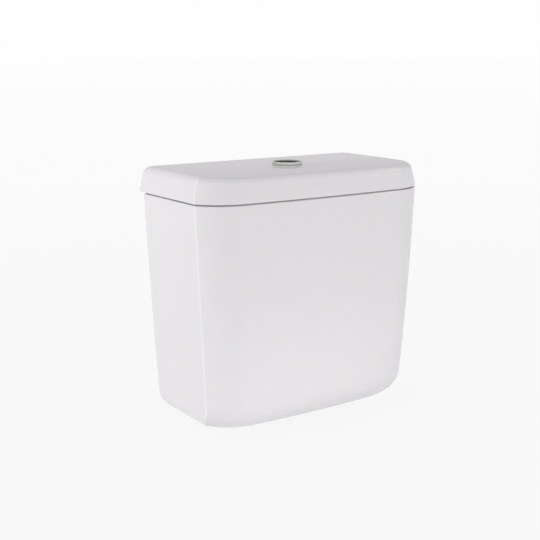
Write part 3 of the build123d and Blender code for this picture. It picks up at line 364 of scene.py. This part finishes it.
def combine(body, tool, operation):
    """Cuts a tool from a body, or joins it, and drops the tool."""
    step = body.modifiers.new("step", "BOOLEAN")
    step.object, step.operation, step.solver = tool, operation, "EXACT"
    done = bpy.data.meshes.new_from_object(body.evaluated_get(bpy.context.evaluated_depsgraph_get()))
    body.modifiers.clear()
    body.data = done
    bpy.data.objects.remove(tool)
    done.polygons.foreach_set("use_smooth", [True] * len(done.polygons))
    done.set_sharp_from_angle(angle=radians(35))
    return body


def shells(parts):
    """Several closed shells as one list of points and faces."""
    points, faces = [], []
    for p, f in parts:
        base = sum(len(q) for q in points)
        points.append(p)
        faces += [[i + base for i in face] for face in f]
    return np.concatenate(points), faces


# The tank's and lid's common plan outline

CORNER, TURN = 68.0, radians(61.0)  # radius of the front corner arcs, and how far they would turn
BOW, EDGE, BACK_CORNER = 3.5, 7.0, 10.0  # sagitta of the front, radii of the edge arcs and back corners
BOW_POINTS, CORNER_POINTS, EDGE_POINTS = 28, 40, 14
SIDE_POINTS, BACK_CORNER_POINTS, BACK_POINTS = 18, 14, 18

RIM = 328.0
TANK_SIDE, TANK_BACK, TANK_FRONT = 192.5, 88.0, 100.0  # how far the tank's rim reaches from the origin
SIDE_LEAN, SIDE_CURVE = 15.5, 4.0
FRONT_LEAN, FRONT_CURVE = -2.0, 9.5
FOOT_ROUNDS, INNER_ROUNDS = (30.0, 46.0, 20.0), (22.0, 36.0, 16.0)  # at the side, the front and the back

LID_BOTTOM, LID_HEIGHT = 328.3, 36.0
LID_TOP = LID_BOTTOM + LID_HEIGHT
LID_SIDE, LID_BACK, LID_FRONT = 193.5, 100.0, 100.0  # how far its lower edge reaches
LID_SIDE_LEAN, LID_BACK_LEAN, LID_FRONT_LEAN = 7.6, 2.7, 4.5
LID_SIDE_ROUND, LID_FRONT_ROUND, LID_BACK_ROUND = 9.0, 7.0, 8.0
LID_CROWN, CROWN_REACH = 2.4, 95.0


def outline(half_width, back, front):
    """Plan points, from the front's middle anticlockwise: a bowed front of sagitta BOW, a corner arc of
    radius CORNER, an edge arc of radius EDGE tangent inside it and to the flat side, a back corner arc and
    the flat back."""
    slope = atan(2 * BOW / (half_width - CORNER * sin(TURN)))
    bow_x = half_width - CORNER * (sin(TURN) - sin(slope))
    bow_y = BOW - front
    cx, cy = bow_x - CORNER * sin(slope), bow_y + CORNER * cos(slope)
    ex = half_width - EDGE
    ey = cy - sqrt((CORNER - EDGE) ** 2 - (ex - cx) ** 2)
    meet = atan2(ey - cy, ex - cx)
    big = (bow_x**2 + BOW**2) / (2 * BOW)
    front_x = bow_x * np.linspace(0, 1, BOW_POINTS, endpoint=False)
    parts = [np.column_stack([front_x, big - front - np.sqrt(big**2 - front_x**2)])]
    corner_arc = (cx, cy, CORNER, slope - pi / 2, meet, CORNER_POINTS)
    edge_arc = (ex, ey, EDGE, meet, 0.0, EDGE_POINTS)
    for x, y, r, a, b, n in (corner_arc, edge_arc):
        t = np.linspace(a, b, n, endpoint=False)
        parts.append(np.column_stack([x + r * np.cos(t), y + r * np.sin(t)]))
    flat = np.linspace(ey, back - BACK_CORNER, SIDE_POINTS, endpoint=False)
    parts.append(np.column_stack([np.full(SIDE_POINTS, half_width), flat]))
    t = np.linspace(0, pi / 2, BACK_CORNER_POINTS, endpoint=False)
    x, y = half_width - BACK_CORNER, back - BACK_CORNER
    parts.append(np.column_stack([x + BACK_CORNER * np.cos(t), y + BACK_CORNER * np.sin(t)]))
    parts.append(np.column_stack([np.linspace(x, 0, BACK_POINTS), np.full(BACK_POINTS, back)]))
    right = np.concatenate(parts)
    left = right[1:-1][::-1] * [-1, 1]
    return np.concatenate([right, left])


def painted_edge_highlight():
    """For the same plan points, the share of painted highlight: sin(pi u)^0.7 along the two edge arcs, and 0
    elsewhere.
    """
    start = BOW_POINTS + CORNER_POINTS
    right = np.zeros(start + EDGE_POINTS + SIDE_POINTS + BACK_CORNER_POINTS + BACK_POINTS)
    u = (np.arange(EDGE_POINTS) + 0.5) / EDGE_POINTS
    right[start : start + EDGE_POINTS] = np.sin(pi * u) ** 0.7
    return np.concatenate([right, right[1:-1][::-1]])


def level_row(xy, z):
    """Plan points as a row at one height."""
    return np.column_stack([xy, np.full(len(xy), z)])


def round_cut(rise, radius):
    """How far a round edge of this radius stands back at a height above its start."""
    below = max(radius - rise, 0.0)
    return radius - sqrt(radius**2 - below**2)


def tank_row(z, inset=0.0, base=0.0, rounds=FOOT_ROUNDS):
    """Tank outline at height z, with d = 1 - z / RIM: each side stands in by SIDE_LEAN d + SIDE_CURVE d^2,
    the front by FRONT_LEAN d + FRONT_CURVE d^2, and the foot is rounded."""
    d, rise = 1 - z / RIM, z - base
    side, front, back = (inset + round_cut(rise, r) for r in rounds)
    side += SIDE_LEAN * d + SIDE_CURVE * d * d
    front += FRONT_LEAN * d + FRONT_CURVE * d * d
    return level_row(outline(TANK_SIDE - side, TANK_BACK - back, TANK_FRONT - front), z)


def lid_outline(k, side, back, front):
    """Lid outline at the share k of its height, where its three faces have leaned in, drawn in by more."""
    side += LID_SIDE_LEAN * k
    back += LID_BACK_LEAN * k
    front += LID_FRONT_LEAN * k
    return outline(LID_SIDE - side, LID_BACK - back, LID_FRONT - front)


def lid_row(z, inset=0.0):
    """Lid outline at height z, drawn in by an inset."""
    return level_row(lid_outline((z - LID_BOTTOM) / LID_HEIGHT, inset, inset, inset), z)


def lid_crown(y):
    """Height of the lid's top: flat behind the button, lower by LID_CROWN (y / CROWN_REACH)^2 before it."""
    return LID_TOP - LID_CROWN * np.clip(-y / CROWN_REACH, 0, 1) ** 2


LID_LIP, LID_LIP_CUT = 2.0, 1.6  # height and depth of the glazed round of the lid's lower edge


def lid_edge_rows(angles, heights):
    """Rows of the lid's outside, top to bottom. At angle a of the top edge the outline is drawn in by the
    three rounds times 1 - cos a, and lies lower by their blend, weighed by the squares of the normal's parts,
    times 1 - sin a. Below it come rows at shares of the height, down to LID_LIP over the seam."""
    low, high = lid_row(LID_BOTTOM)[:, :2], lid_row(LID_TOP)[:, :2]
    along = np.roll(low, -1, 0) - np.roll(low, 1, 0)
    normal = np.column_stack([along[:, 1], -along[:, 0]]) / np.linalg.norm(along, axis=1)[:, None]
    nx, ny = normal.T**2
    radius = LID_SIDE_ROUND * nx + np.where(normal[:, 1] < 0, LID_FRONT_ROUND, LID_BACK_ROUND) * ny
    top = lid_crown(high[:, 1])

    def at(z, share):
        drawn = LID_SIDE_ROUND * share, LID_BACK_ROUND * share, LID_FRONT_ROUND * share
        below, above = lid_outline(0.0, *drawn), lid_outline(1.0, *drawn)
        k = ((z - LID_BOTTOM) / LID_HEIGHT)[:, None]
        return np.column_stack([below + k * (above - below), z])

    rows = [at(top - radius * (1 - sin(a)), 1 - cos(a)) for a in angles]
    start, end = top - radius, np.full(len(top), LID_BOTTOM + LID_LIP)
    return rows + [at(start + t * (end - start), 0.0) for t in heights]


def towards_circle(row, radius, share):
    """A row drawn in towards a circle round the origin, at the same polar angles."""
    xy = row[:, :2]
    circle = xy / np.linalg.norm(xy, axis=1)[:, None] * radius
    made = row.copy()
    made[:, :2] = xy * (1 - share) + circle * share
    return made


def at_height(row, z):
    """A row moved to one height."""
    return level_row(row[:, :2], z)


def quarter(radius, n):
    """Heights at even steps of angle up a quarter round."""
    return [radius * (1 - cos(a)) for a in np.linspace(0, pi / 2, n)]


class Skin:
    """Closed rows of points, in the order of the surface, each with its share of bare clay."""

    def __init__(self):
        self.rows, self.bare = [], []

    def add(self, row, bare=0.0):
        self.rows.append(row)
        self.bare.append(bare)


EDGE_HIGHLIGHT_REACH, EDGE_HIGHLIGHT_FADE = 168.0, 6.0  # from what reach to the side rows have the painted edge highlight, and how soon


def solid_from_rows(name, rows, bare, extra=()):
    """Ring-shaped closed solid of glazed china from closed rows, with separate closed shells added."""
    count = len(rows[0])
    points = np.concatenate(rows)
    faces = grid_faces(len(rows), count, closed=True)
    mask = np.repeat(np.asarray(bare, float), count)
    # The edge attribute: painted highlight along the edge arcs of the rows that reach the sides.
    outer = [np.clip((np.abs(row[:, 0]).max() - EDGE_HIGHLIGHT_REACH) / EDGE_HIGHLIGHT_FADE, 0, 1) for row in rows]
    edge = (np.array(outer)[:, None] * painted_edge_highlight()).ravel()
    for more_points, more_faces in extra:
        faces += [[i + len(points) for i in face] for face in more_faces]
        points = np.concatenate([points, more_points])
        mask = np.concatenate([mask, np.zeros(len(more_points))])
        edge = np.concatenate([edge, np.zeros(len(more_points))])
    made = make_piece(name, points, faces, slot="vitreous_china", bare=mask)
    values = edge.astype(np.float32)
    made.data.attributes.new("edge", "FLOAT", "POINT").data.foreach_set("value", values)
    return made


# Tank

WALL, FLOOR_UNDER, FLOOR_TOP = 9.0, 16.0, 28.0
OUTLET_HOLE, BOLT_HOLE, SCREW_HOLE, INLET_HOLE = 25.5, 6.0, 4.5, 11.5  # radii
BOLT_X, INLET_X, INLET_Y = 75.0, 110.0, 8.0
RECESS_INSET, FOOT_INNER, FOOT_OUTER = 8.0, 7.2, 1.5  # insets of the recess and of the bare band of the foot
RECESS_SOFT, FOOT_SOFT = 0.8, 1.2
RIM_ROUND, RIM_DROP = 1.8, 1.3  # glazed outer edge of the rim, and how far it lies under the lid's bare seat
SEAT_DROP_INSET, SEAT_INSET, SEAT_ROUND = 5.2, 5.8, 1.2
PAD_X, PAD_Y, PAD_Z, PAD_LENGTH = 120.0, 84.0, 285.0, 16.0
PAD_BASE, PAD_END = 17.3, 13.0  # radii
DRILL = 40.0  # length of the drills, past the wall on both sides
FLOOR_DRILL_Z, SCREW_DRILL_Y = 5.0, 70.0  # where the drills start


def build_tank():
    """The tank as one closed surface: outlet hole, underside, foot, outside, rim, inside and floor, then pads
    and holes."""
    skin = Skin()
    recess = tank_row(0.0, RECESS_INSET)
    for share in (1.0, 0.97, 0.8, 0.5, 0.2, 0.03, 0.0):
        skin.add(towards_circle(at_height(recess, FLOOR_UNDER), OUTLET_HOLE, share), 1.0)
    for z in (FLOOR_UNDER - RECESS_SOFT, FLOOR_UNDER / 2, FOOT_SOFT):
        skin.add(at_height(recess, z), 1.0)
    skin.add(tank_row(0.0, FOOT_INNER), 1.0)
    skin.add(tank_row(0.0, FOOT_OUTER), 1.0)
    skin.add(tank_row(0.0), 0.9)
    front_round, inner_front_round = FOOT_ROUNDS[1], INNER_ROUNDS[1]
    for z in quarter(front_round, 40)[1:]:
        skin.add(tank_row(z), 0.35 if z < 1.0 else 0.0)
    for z in np.linspace(front_round, RIM - RIM_DROP - RIM_ROUND, 34)[1:]:
        skin.add(tank_row(z))
    for a in np.linspace(0, pi / 2, 7)[1:]:
        z = RIM - RIM_DROP - RIM_ROUND * (1 - sin(a))
        skin.add(at_height(tank_row(RIM, RIM_ROUND * (1 - cos(a))), z))
    skin.add(at_height(tank_row(RIM, SEAT_DROP_INSET), RIM - RIM_DROP), 1.0)
    skin.add(tank_row(RIM, SEAT_INSET), 1.0)
    for a in np.linspace(pi / 2, 0, 6):
        inset, z = WALL - SEAT_ROUND * (1 - cos(a)), RIM - SEAT_ROUND + SEAT_ROUND * sin(a)
        skin.add(at_height(tank_row(RIM, inset), z), 0.2 + 0.5 * a)
    for z in np.linspace(RIM - SEAT_ROUND, FLOOR_TOP + inner_front_round, 30)[1:]:
        skin.add(tank_row(z, WALL, FLOOR_TOP, INNER_ROUNDS))
    for rise in quarter(inner_front_round, 28)[::-1][1:]:
        skin.add(tank_row(FLOOR_TOP + rise, WALL, FLOOR_TOP, INNER_ROUNDS))
    floor_edge = skin.rows[-1]
    for share in (0.05, 0.2, 0.5, 0.8, 0.97, 1.0):
        skin.add(towards_circle(floor_edge, OUTLET_HOLE, share))
    body = solid_from_rows("tank_china", skin.rows, skin.bare)
    pads = [cylinder(x, PAD_Y, PAD_Z, PAD_BASE, PAD_END, PAD_LENGTH, "Y", 64) for x in (-PAD_X, PAD_X)]
    combine(body, make_piece("pads", *shells(pads)), "UNION")
    holes = [cylinder(x, SCREW_DRILL_Y, PAD_Z, SCREW_HOLE, SCREW_HOLE, DRILL, "Y") for x in (-PAD_X, PAD_X)]
    holes += [cylinder(x, 0.0, FLOOR_DRILL_Z, BOLT_HOLE, BOLT_HOLE, DRILL) for x in (-BOLT_X, BOLT_X)]
    holes.append(cylinder(INLET_X, INLET_Y, FLOOR_DRILL_Z, INLET_HOLE, INLET_HOLE, DRILL))
    combine(body, make_piece("holes", *shells(holes)), "DIFFERENCE")
    return stand_in(body, "tank")


# Lid

BUTTON_HOLE, LID_WALL, CEILING_START, CEILING_ROUND = 19.9, 9.0, 348.3, 7.0
HOLE_EDGE = ((19.9, 1.2), (20.1, 0.5), (20.6, 0.12), (21.4, 0.0))  # (radius, depth) of the soft upper edge
LUG_INSET, LUG_LENGTH, LUG_WIDTH = 14.5, 44.0, 6.0
LUG_BOTTOM, LUG_TOP, LUG_LEAD, LUG_LEAD_SHARE = 321.0, 359.0, 1.0, 0.93
LUG_POINTS = 9  # points of each round end


def lug(x, y, along):
    """A locating lug: a closed upright bar with round ends, a little narrower at its foot."""
    ends = np.linspace(-pi / 2, pi / 2, LUG_POINTS), np.linspace(pi / 2, 3 * pi / 2, LUG_POINTS)
    t = np.concatenate(ends)
    middle = (LUG_LENGTH - LUG_WIDTH) / 2
    u = np.repeat([middle, -middle], LUG_POINTS) + LUG_WIDTH / 2 * np.cos(t)
    v = LUG_WIDTH / 2 * np.sin(t)
    if along == "Y":
        u, v = -v, u
    levels = ((LUG_BOTTOM, LUG_LEAD_SHARE), (LUG_BOTTOM + LUG_LEAD, 1.0), (LUG_TOP, 1.0))
    rows = [level_row(np.column_stack([x + u * s, y + v * s]), z) for z, s in levels]
    count = len(t)
    faces = grid_faces(len(rows), count)
    faces += [list(range(count))[::-1], list(range(2 * count, 3 * count))]
    return np.concatenate(rows), faces


def build_lid():
    """The lid as one closed surface: button hole, top, soft top edge, leaning sides, bare lower edge and
    hollow."""
    skin = Skin()
    edge = lid_edge_rows(np.linspace(pi / 2, 0, 26), np.linspace(0, 1, 9)[1:])
    for radius, depth in HOLE_EDGE:
        skin.add(at_height(towards_circle(edge[0], radius, 1.0), LID_TOP - depth))
    for share in (0.97, 0.9, 0.78, 0.6, 0.45, 0.3, 0.16, 0.06, 0.02):
        row = towards_circle(edge[0], HOLE_EDGE[-1][0], share)
        row[:, 2] = lid_crown(row[:, 1])
        skin.add(row)
    for row in edge:
        skin.add(row)
    for a in np.linspace(0, pi / 2, 7)[1:]:
        row = lid_row(LID_BOTTOM + LID_LIP, LID_LIP_CUT * (1 - cos(a)))
        skin.add(at_height(row, LID_BOTTOM + LID_LIP * (1 - sin(a))))
    for inset, bare in ((2.8, 1.0), (5.0, 1.0), (8.4, 0.9)):
        skin.add(lid_row(LID_BOTTOM, inset), bare)
    for z in np.linspace(LID_BOTTOM + 0.7, CEILING_START, 8):
        skin.add(lid_row(z, LID_WALL))
    for a in np.linspace(0, pi / 2, 12)[1:]:
        skin.add(lid_row(CEILING_START + CEILING_ROUND * sin(a), LID_WALL + CEILING_ROUND * (1 - cos(a))))
    ceiling = skin.rows[-1]
    for share in (0.03, 0.2, 0.5, 0.8, 0.97, 1.0):
        skin.add(towards_circle(ceiling, BUTTON_HOLE, share))
    back, front, side = TANK_BACK - LUG_INSET, LUG_INSET - TANK_FRONT, TANK_SIDE - LUG_INSET
    lugs = [lug(x, y, "X") for x in (-side / 2, side / 2) for y in (back, front)]
    lugs += [lug(x, (back + front) / 2, "Y") for x in (-side, side)]
    return stand_in(solid_from_rows("lid_china", skin.rows[::-1], skin.bare[::-1], lugs), "lid")


# Push button, with radii and heights as (radius, height) points

BEZEL_TOP = 1000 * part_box("button_bezel")[1].z
BEZEL_BORE, BEZEL_SKIRT, BEZEL_LIP, BEZEL_RING, FLANGE_ROOM = 17.3, 18.2, 20.8, 22.0, 20.95
SKIRT_LENGTH, DISH_START, RING_FOOT, ROOM_TOP = 14.5, 366.15, 364.35, 365.95
SLEEVE_BORE, SKIRT_ROOM, SLEEVE, FLANGE = 16.8, 18.25, 19.5, 20.9
SLEEVE_END, SKIRT_STEP, FLANGE_UNDER, FLANGE_TOP = 318.9, 351.4, 364.9, 365.9
SLEEVE_PITCH, SLEEVE_THREAD_DEPTH = 3.0, 1.0
SLEEVE_THREAD_START, SLEEVE_THREAD_END, SLEEVE_ROWS_END = 319.4, 360.0, 361.0
WEB, WEB_UNDER, WEB_THICK = 17.2, 333.9, 4.0
STEM_X, STEM_HOLE, STEM_DRILL_Z, STEM_DRILL = 8.5, 5.35, 330.0, 12.0
WIRE, COIL, COIL_TURNS, COIL_LOW, COIL_HIGH = 0.45, 5.7, 5, 338.454, 362.246
FACE, FACE_SPLIT, FACE_GAP = 16.9, 2.5, 0.4  # radius, where the two halves part, and half the gap
FACE_LIFT, FACE_DISH, FACE_RIM, FACE_RIM_DROP, FACE_ROOT = 0.05, 0.3, 0.5, 0.3, 0.3


def build_bezel():
    """The bezel: a raised ring, dished inside below a narrow bright lip, lining the bore of the housing; its
    inside under the lip carries painted near-black shade.
    """
    skirt_end = BEZEL_TOP - SKIRT_LENGTH
    corners = [
        (BEZEL_BORE, skirt_end), (BEZEL_BORE, DISH_START), (BEZEL_LIP, BEZEL_TOP), (BEZEL_RING, BEZEL_TOP),
        (BEZEL_RING, RING_FOOT), (FLANGE_ROOM, RING_FOOT), (FLANGE_ROOM, ROOM_TOP),
        (BEZEL_SKIRT, ROOM_TOP), (BEZEL_SKIRT, skirt_end)]
    profile = rounded(corners, [0.2, 1.2, 0.3, 0.9, 0.15, 0.1, 0.1, 0.1, 0.2], 9)
    steps, lip_edge, lip_depth = 160, 0.05, 0.15
    points, faces = lathe(profile, steps)
    # Painted shade: the inside below the lip is masked for the chrome's near-black.
    painted_dark_band = (profile[:, 0] < BEZEL_LIP + lip_edge) & (profile[:, 1] < BEZEL_TOP - lip_depth)
    bore = np.repeat(painted_dark_band, steps)
    ring = make_piece("button_bezel_chrome", points, faces, node="button_bezel", bare=bore, sharp=50)
    return stand_in(ring, "button_bezel")


def build_housing():
    """The button's housing: a sleeve with a coarse cosmetic thread, and its web with two guide holes."""
    corners = [
        (SKIRT_ROOM, FLANGE_TOP), (FLANGE, FLANGE_TOP), (FLANGE, FLANGE_UNDER), (SLEEVE, FLANGE_UNDER),
        (SLEEVE, SLEEVE_END), (SLEEVE_BORE, SLEEVE_END), (SLEEVE_BORE, SKIRT_STEP), (SKIRT_ROOM, SKIRT_STEP)]
    profile = rounded(corners, [0.1, 0.3, 0.1, 0.2, 0.6, 0.3, 0.1, 0.1], 3)
    profile = with_thread_rows(profile, SLEEVE, SLEEVE_END, SLEEVE_ROWS_END, SLEEVE_PITCH)
    thread = (SLEEVE_THREAD_START, SLEEVE_THREAD_END, SLEEVE_PITCH, SLEEVE_THREAD_DEPTH)
    sleeve = lathe(profile, 128, thread=thread)
    web = make_piece("button_housing_web", *cylinder(0, 0, WEB_UNDER, WEB, WEB, WEB_THICK, steps=96),
                     node="button_housing")
    drills = [cylinder(x, 0, STEM_DRILL_Z, STEM_HOLE, STEM_HOLE, STEM_DRILL) for x in (-STEM_X, STEM_X)]
    combine(web, make_piece("stem_holes", *shells(drills)), "DIFFERENCE")
    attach(web, nodes["button_housing"]["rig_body"])
    return stand_in(make_piece("button_housing_sleeve", *sleeve, node="button_housing"), "button_housing")


def build_button_face(name, node, side):
    """A button's polished face, a shallow dish laid on its flat top: rays from the face's middle to the
    outline, and rows at shares of them; height = FACE_LIFT + FACE_DISH (r / FACE)^2 over the flat top, with r
    from the button's axis, and a rounded rim of FACE_RIM."""
    flat = 1000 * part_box(node)[1].z
    steps = 160
    t = np.linspace(0, 2 * pi, steps, endpoint=False)
    cut = FACE_SPLIT + side * FACE_GAP
    middle_x = cut + side * (FACE - side * cut) / 2
    direction = np.column_stack([np.cos(t), np.sin(t)])
    towards_cut = direction[:, 0] * side < -1e-6
    across = np.where(towards_cut, (cut - middle_x) / np.where(towards_cut, direction[:, 0], 1), np.inf)
    b = middle_x * direction[:, 0]
    reach = np.minimum(across, -b + np.sqrt(b * b + FACE**2 - middle_x**2))

    def row(share, inset, drop):
        xy = np.array([middle_x, 0.0]) + direction * ((reach - inset) * share)[:, None]
        dish = FACE_LIFT + FACE_DISH * (xy**2).sum(1) / FACE**2
        return np.column_stack([xy, flat + dish - drop])

    rows = [row(share, FACE_RIM, 0.0) for share in np.linspace(0.02, 1.0, 16)]
    for a in np.linspace(0, pi / 2, 6)[1:]:
        rows.append(row(1.0, FACE_RIM * (1 - sin(a)), FACE_RIM_DROP * (1 - cos(a))))
    rows.append(at_height(row(1.0, 0.0, 0.0), flat - FACE_ROOT))
    points = np.concatenate(rows)
    faces = grid_faces(len(rows), steps)
    faces += [list(range(steps)), list(range(len(points) - steps, len(points)))[::-1]]
    piece = make_piece(name, points, [face[::-1] for face in faces], node=node, sharp=60)
    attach(piece, nodes[node]["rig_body"])


def build_spring(name, node, side):
    """A return spring: with u from 0 to 1, the wire's middle line turns by 2 pi COIL_TURNS u at the radius
    COIL and climbs evenly from COIL_LOW to COIL_HIGH, and the wire is a round of radius WIRE across it. It
    rides the lid."""
    rows, steps, middle_x = 241, 12, side * STEM_X
    u = np.linspace(0, 1, rows)[:, None]
    w = np.linspace(0, 2 * pi, steps, endpoint=False)[None, :]
    turn, reach = 2 * pi * COIL_TURNS * u, COIL + WIRE * np.cos(w)
    height = COIL_LOW + (COIL_HIGH - COIL_LOW) * u + WIRE * np.sin(w)
    points = np.stack([middle_x + reach * np.cos(turn), reach * np.sin(turn), height], -1).reshape(-1, 3)
    faces = grid_faces(rows, steps)
    faces += [list(range(steps))[::-1], list(range((rows - 1) * steps, rows * steps))]
    piece = make_piece(name, points, [face[::-1] for face in faces], node=node, sharp=60)
    stand_in(piece, node)
    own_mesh(piece)


# Fill valve's riser

RISER_BORE, TAIL, RELIEF, TUBE, RISER_FLANGE = 7.0, 10.48, 9.9, 9.0, 17.0  # radii
TAIL_END, TAIL_TOP, FLANGE_LOW, FLANGE_HIGH, TUBE_TOP = -12.0, 7.95, 31.0, 35.0, 215.0
PIPE_PITCH, PIPE_DEPTH = 1.814, 1.16  # half inch pipe thread
PIPE_ROWS, PIPE_THREAD = (-11.1, 7.85), (-11.0, 7.7)


def build_riser():
    """The fill valve's riser, with a half inch pipe thread on its free tail."""
    corners = [
        (RISER_BORE, TAIL_END), (TAIL, TAIL_END), (TAIL, TAIL_TOP), (RELIEF, TAIL_TOP), (RELIEF, FLANGE_LOW),
        (RISER_FLANGE, FLANGE_LOW), (RISER_FLANGE, FLANGE_HIGH), (TUBE, FLANGE_HIGH), (TUBE, TUBE_TOP),
        (RISER_BORE, TUBE_TOP)]
    profile = rounded(corners, [0.4, 0.9, 0.1, 0.1, 0.3, 0.6, 1.2, 0.8, 0.2, 0.2], 4)
    profile = with_thread_rows(profile, TAIL, *PIPE_ROWS, PIPE_PITCH)
    points, faces = lathe(profile, 96, INLET_X, INLET_Y, thread=(*PIPE_THREAD, PIPE_PITCH, PIPE_DEPTH))
    riser = make_piece("fill_valve_riser_tube", points, faces, node="fill_valve_riser")
    return stand_in(riser, "fill_valve_riser")


build_tank()
build_lid()
build_spring("full_button_spring_wire", "full_flush_spring", -1)
build_spring("half_button_spring_wire", "half_flush_spring", 1)
build_bezel()
build_housing()
build_riser()
build_button_face("full_button_face", "full_flush_button", -1)
build_button_face("half_button_face", "half_flush_button", 1)


# Camera: the photograph's angle, found by fitting the tank's and lid's outlines

TH, PITCH = radians(34.30), radians(12.16)
FOCAL, PICTURE = 1027.04, 540  # focal length and picture width, in pixels
SENSOR = 36.0
DISTANCE, SHIFT_RIGHT, SHIFT_UP = 1526.2, -28.09, 17.32
LOOK_AT = Vector((0, -6.0, 190.0))

forward = Vector((sin(TH) * cos(PITCH), cos(TH) * cos(PITCH), -sin(PITCH)))
right = Vector((cos(TH), -sin(TH), 0.0))
up = right.cross(forward)
place = LOOK_AT - forward * DISTANCE + right * SHIFT_RIGHT + up * SHIFT_UP
camera = bpy.data.objects.new("camera", bpy.data.cameras.new("camera"))
scene.collection.objects.link(camera)
turned = Matrix((right, up, -forward)).transposed().to_4x4()
camera.matrix_world = Matrix.Translation(place * MM) @ turned
camera.data.sensor_width = SENSOR
camera.data.lens = FOCAL / PICTURE * SENSOR
camera.data.clip_start, camera.data.clip_end = 0.05, 100.0
scene.camera = camera


# Studio: pale floor, pale surroundings and soft lamps

FLOOR_Z, FLOOR_REACH = -12.2, 40000.0
FLOOR_SHADE, FLOOR_LIT = 0.04, 0.6  # share of the matt surface that is seen, and about how brightly it is lit
FLOOR_FADE = 2.2  # metres from the object at which its tone is halfway
SKY, DIM_SHARE, DIM_TOWARDS = 0.552, 0.45, (0.9, -0.44, 0.0)
SKY_START, SKY_END = radians(2.9), radians(7.0)  # elevations between which the sky that is seen turns greyer


def seen_directly(tree):
    """1 for rays from the camera, off a mirror or through clear material, 0 for rays that light a surface."""
    seen = add_node(tree, "LightPath", out="Is Camera Ray")
    for name in ("Is Glossy Ray", "Is Transmission Ray"):
        seen = add_node(tree, "Math", [seen, add_node(tree, "LightPath", out=name)], operation="MAXIMUM")
    return seen


def studio_floor():
    """Plain pale floor, matt white to the rays that light the object. Seen directly it is a near white that
    darkens a little towards the object, as 1 / (1 + r / FLOOR_FADE), laid over FLOOR_SHADE of the matt
    surface, which keeps the object's shadow. From below it is clear, so that the underside can be seen."""
    material = bpy.data.materials.new("studio_floor_pale")
    material.use_nodes = True
    tree = material.node_tree
    tree.nodes.clear()
    place = add_node(tree, "TexCoord", out="Object")
    distance = add_node(tree, "VectorMath", [place], "Value", operation="LENGTH")
    far = add_node(tree, "Math", [distance, 1 / FLOOR_FADE, 1.0], operation="MULTIPLY_ADD")
    nearness = add_node(tree, "Math", [1.0, far], operation="DIVIDE")
    tone = {0: nearness, 6: colour("#FEFEFE"), 7: colour("#F7F7F8")}
    glow = add_node(tree, "Emission", {
        "Color": add_node(tree, "Mix", tone, 2, data_type="RGBA"),
        "Strength": (1 - FLOOR_SHADE * FLOOR_LIT) / (1 - FLOOR_SHADE)})
    matt = add_node(tree, "BsdfDiffuse", {"Color": colour("#F3F3F3")})
    share = add_node(tree, "Math", [seen_directly(tree), 1 - FLOOR_SHADE], operation="MULTIPLY")
    above = add_node(tree, "MixShader", [share, matt, glow])
    from_below = add_node(tree, "NewGeometry", out="Backfacing")
    surface = add_node(tree, "MixShader", [from_below, above, add_node(tree, "BsdfTransparent")])
    add_node(tree, "OutputMaterial", [surface])
    return material


def build_surroundings():
    """The world: an even pale level that lights the object, dimmer towards DIM_TOWARDS, and a near white sky
    that is seen directly and turns a little greyer with height."""
    world = bpy.data.worlds.new("studio")
    scene.world = world
    world.use_nodes = True
    tree = world.node_tree
    tree.nodes.clear()
    direction = add_node(tree, "TexCoord", out="Generated")
    upward = add_node(tree, "SeparateXYZ", [direction], "Z")
    span = [upward, sin(SKY_START), sin(SKY_END)]
    height = add_node(tree, "MapRange", span, interpolation_type="SMOOTHSTEP")
    tone = {0: height, 6: colour("#FEFEFE"), 7: colour("#D9D7DA")}
    seen = add_node(tree, "Background", {"Color": add_node(tree, "Mix", tone, 2, data_type="RGBA")})
    facing = add_node(tree, "VectorMath", [direction, DIM_TOWARDS], "Value", operation="DOT_PRODUCT")
    level = add_node(tree, "MapRange", [facing, 0.0, 1.0, SKY, DIM_SHARE * SKY])
    around = add_node(tree, "Background", {"Color": colour("#F8F6F8"), "Strength": level})
    add_node(tree, "OutputWorld", [add_node(tree, "MixShader", [seen_directly(tree), around, seen])])


def lamp(name, position, target, size, power, seen=True):
    """Soft rectangular lamp aimed at a point, in metres. A lamp that isn't seen gives no reflection."""
    data = bpy.data.lights.new(name, "AREA")
    data.shape, data.size, data.size_y, data.energy = "RECTANGLE", size[0], size[1], power
    data.spread = radians(110)
    made = bpy.data.objects.new(name, data)
    scene.collection.objects.link(made)
    made.location = position
    made.rotation_euler = (Vector(target) - Vector(position)).to_track_quat("-Z", "Y").to_euler()
    made.visible_glossy, made.visible_camera = seen, False


floor_corners = [(x * FLOOR_REACH, y * FLOOR_REACH, FLOOR_Z) for x, y in ((-1, -1), (1, -1), (1, 1), (-1, 1))]
floor = make_piece("studio_floor", floor_corners, [[0, 1, 2, 3]])
floor.data.materials.append(studio_floor())
build_surroundings()

middle, button = (0.0, 0.0, 0.19), (0, 0, 0.366)
lamp("side_lamp", (-1.9, 1.0, 0.5), middle, (1.6, 1.0), 5.42, False)
lamp("front_lamp", (-0.1, -1.9, 0.42), (0, 0, 0.12), (2.2, 0.8), 5.00, False)
lamp("foot_lamp", (-0.02, -0.34, 0.02), (-0.02, -0.1, 0.05), (0.5, 0.04), 0.04, False)
lamp("button_lamp", (-1.25, 0.35, 1.1), button, (0.3, 0.3), 0.6)
lamp("right_button_lamp", (1.0, -0.6, 0.95), button, (0.25, 0.25), 0.3)
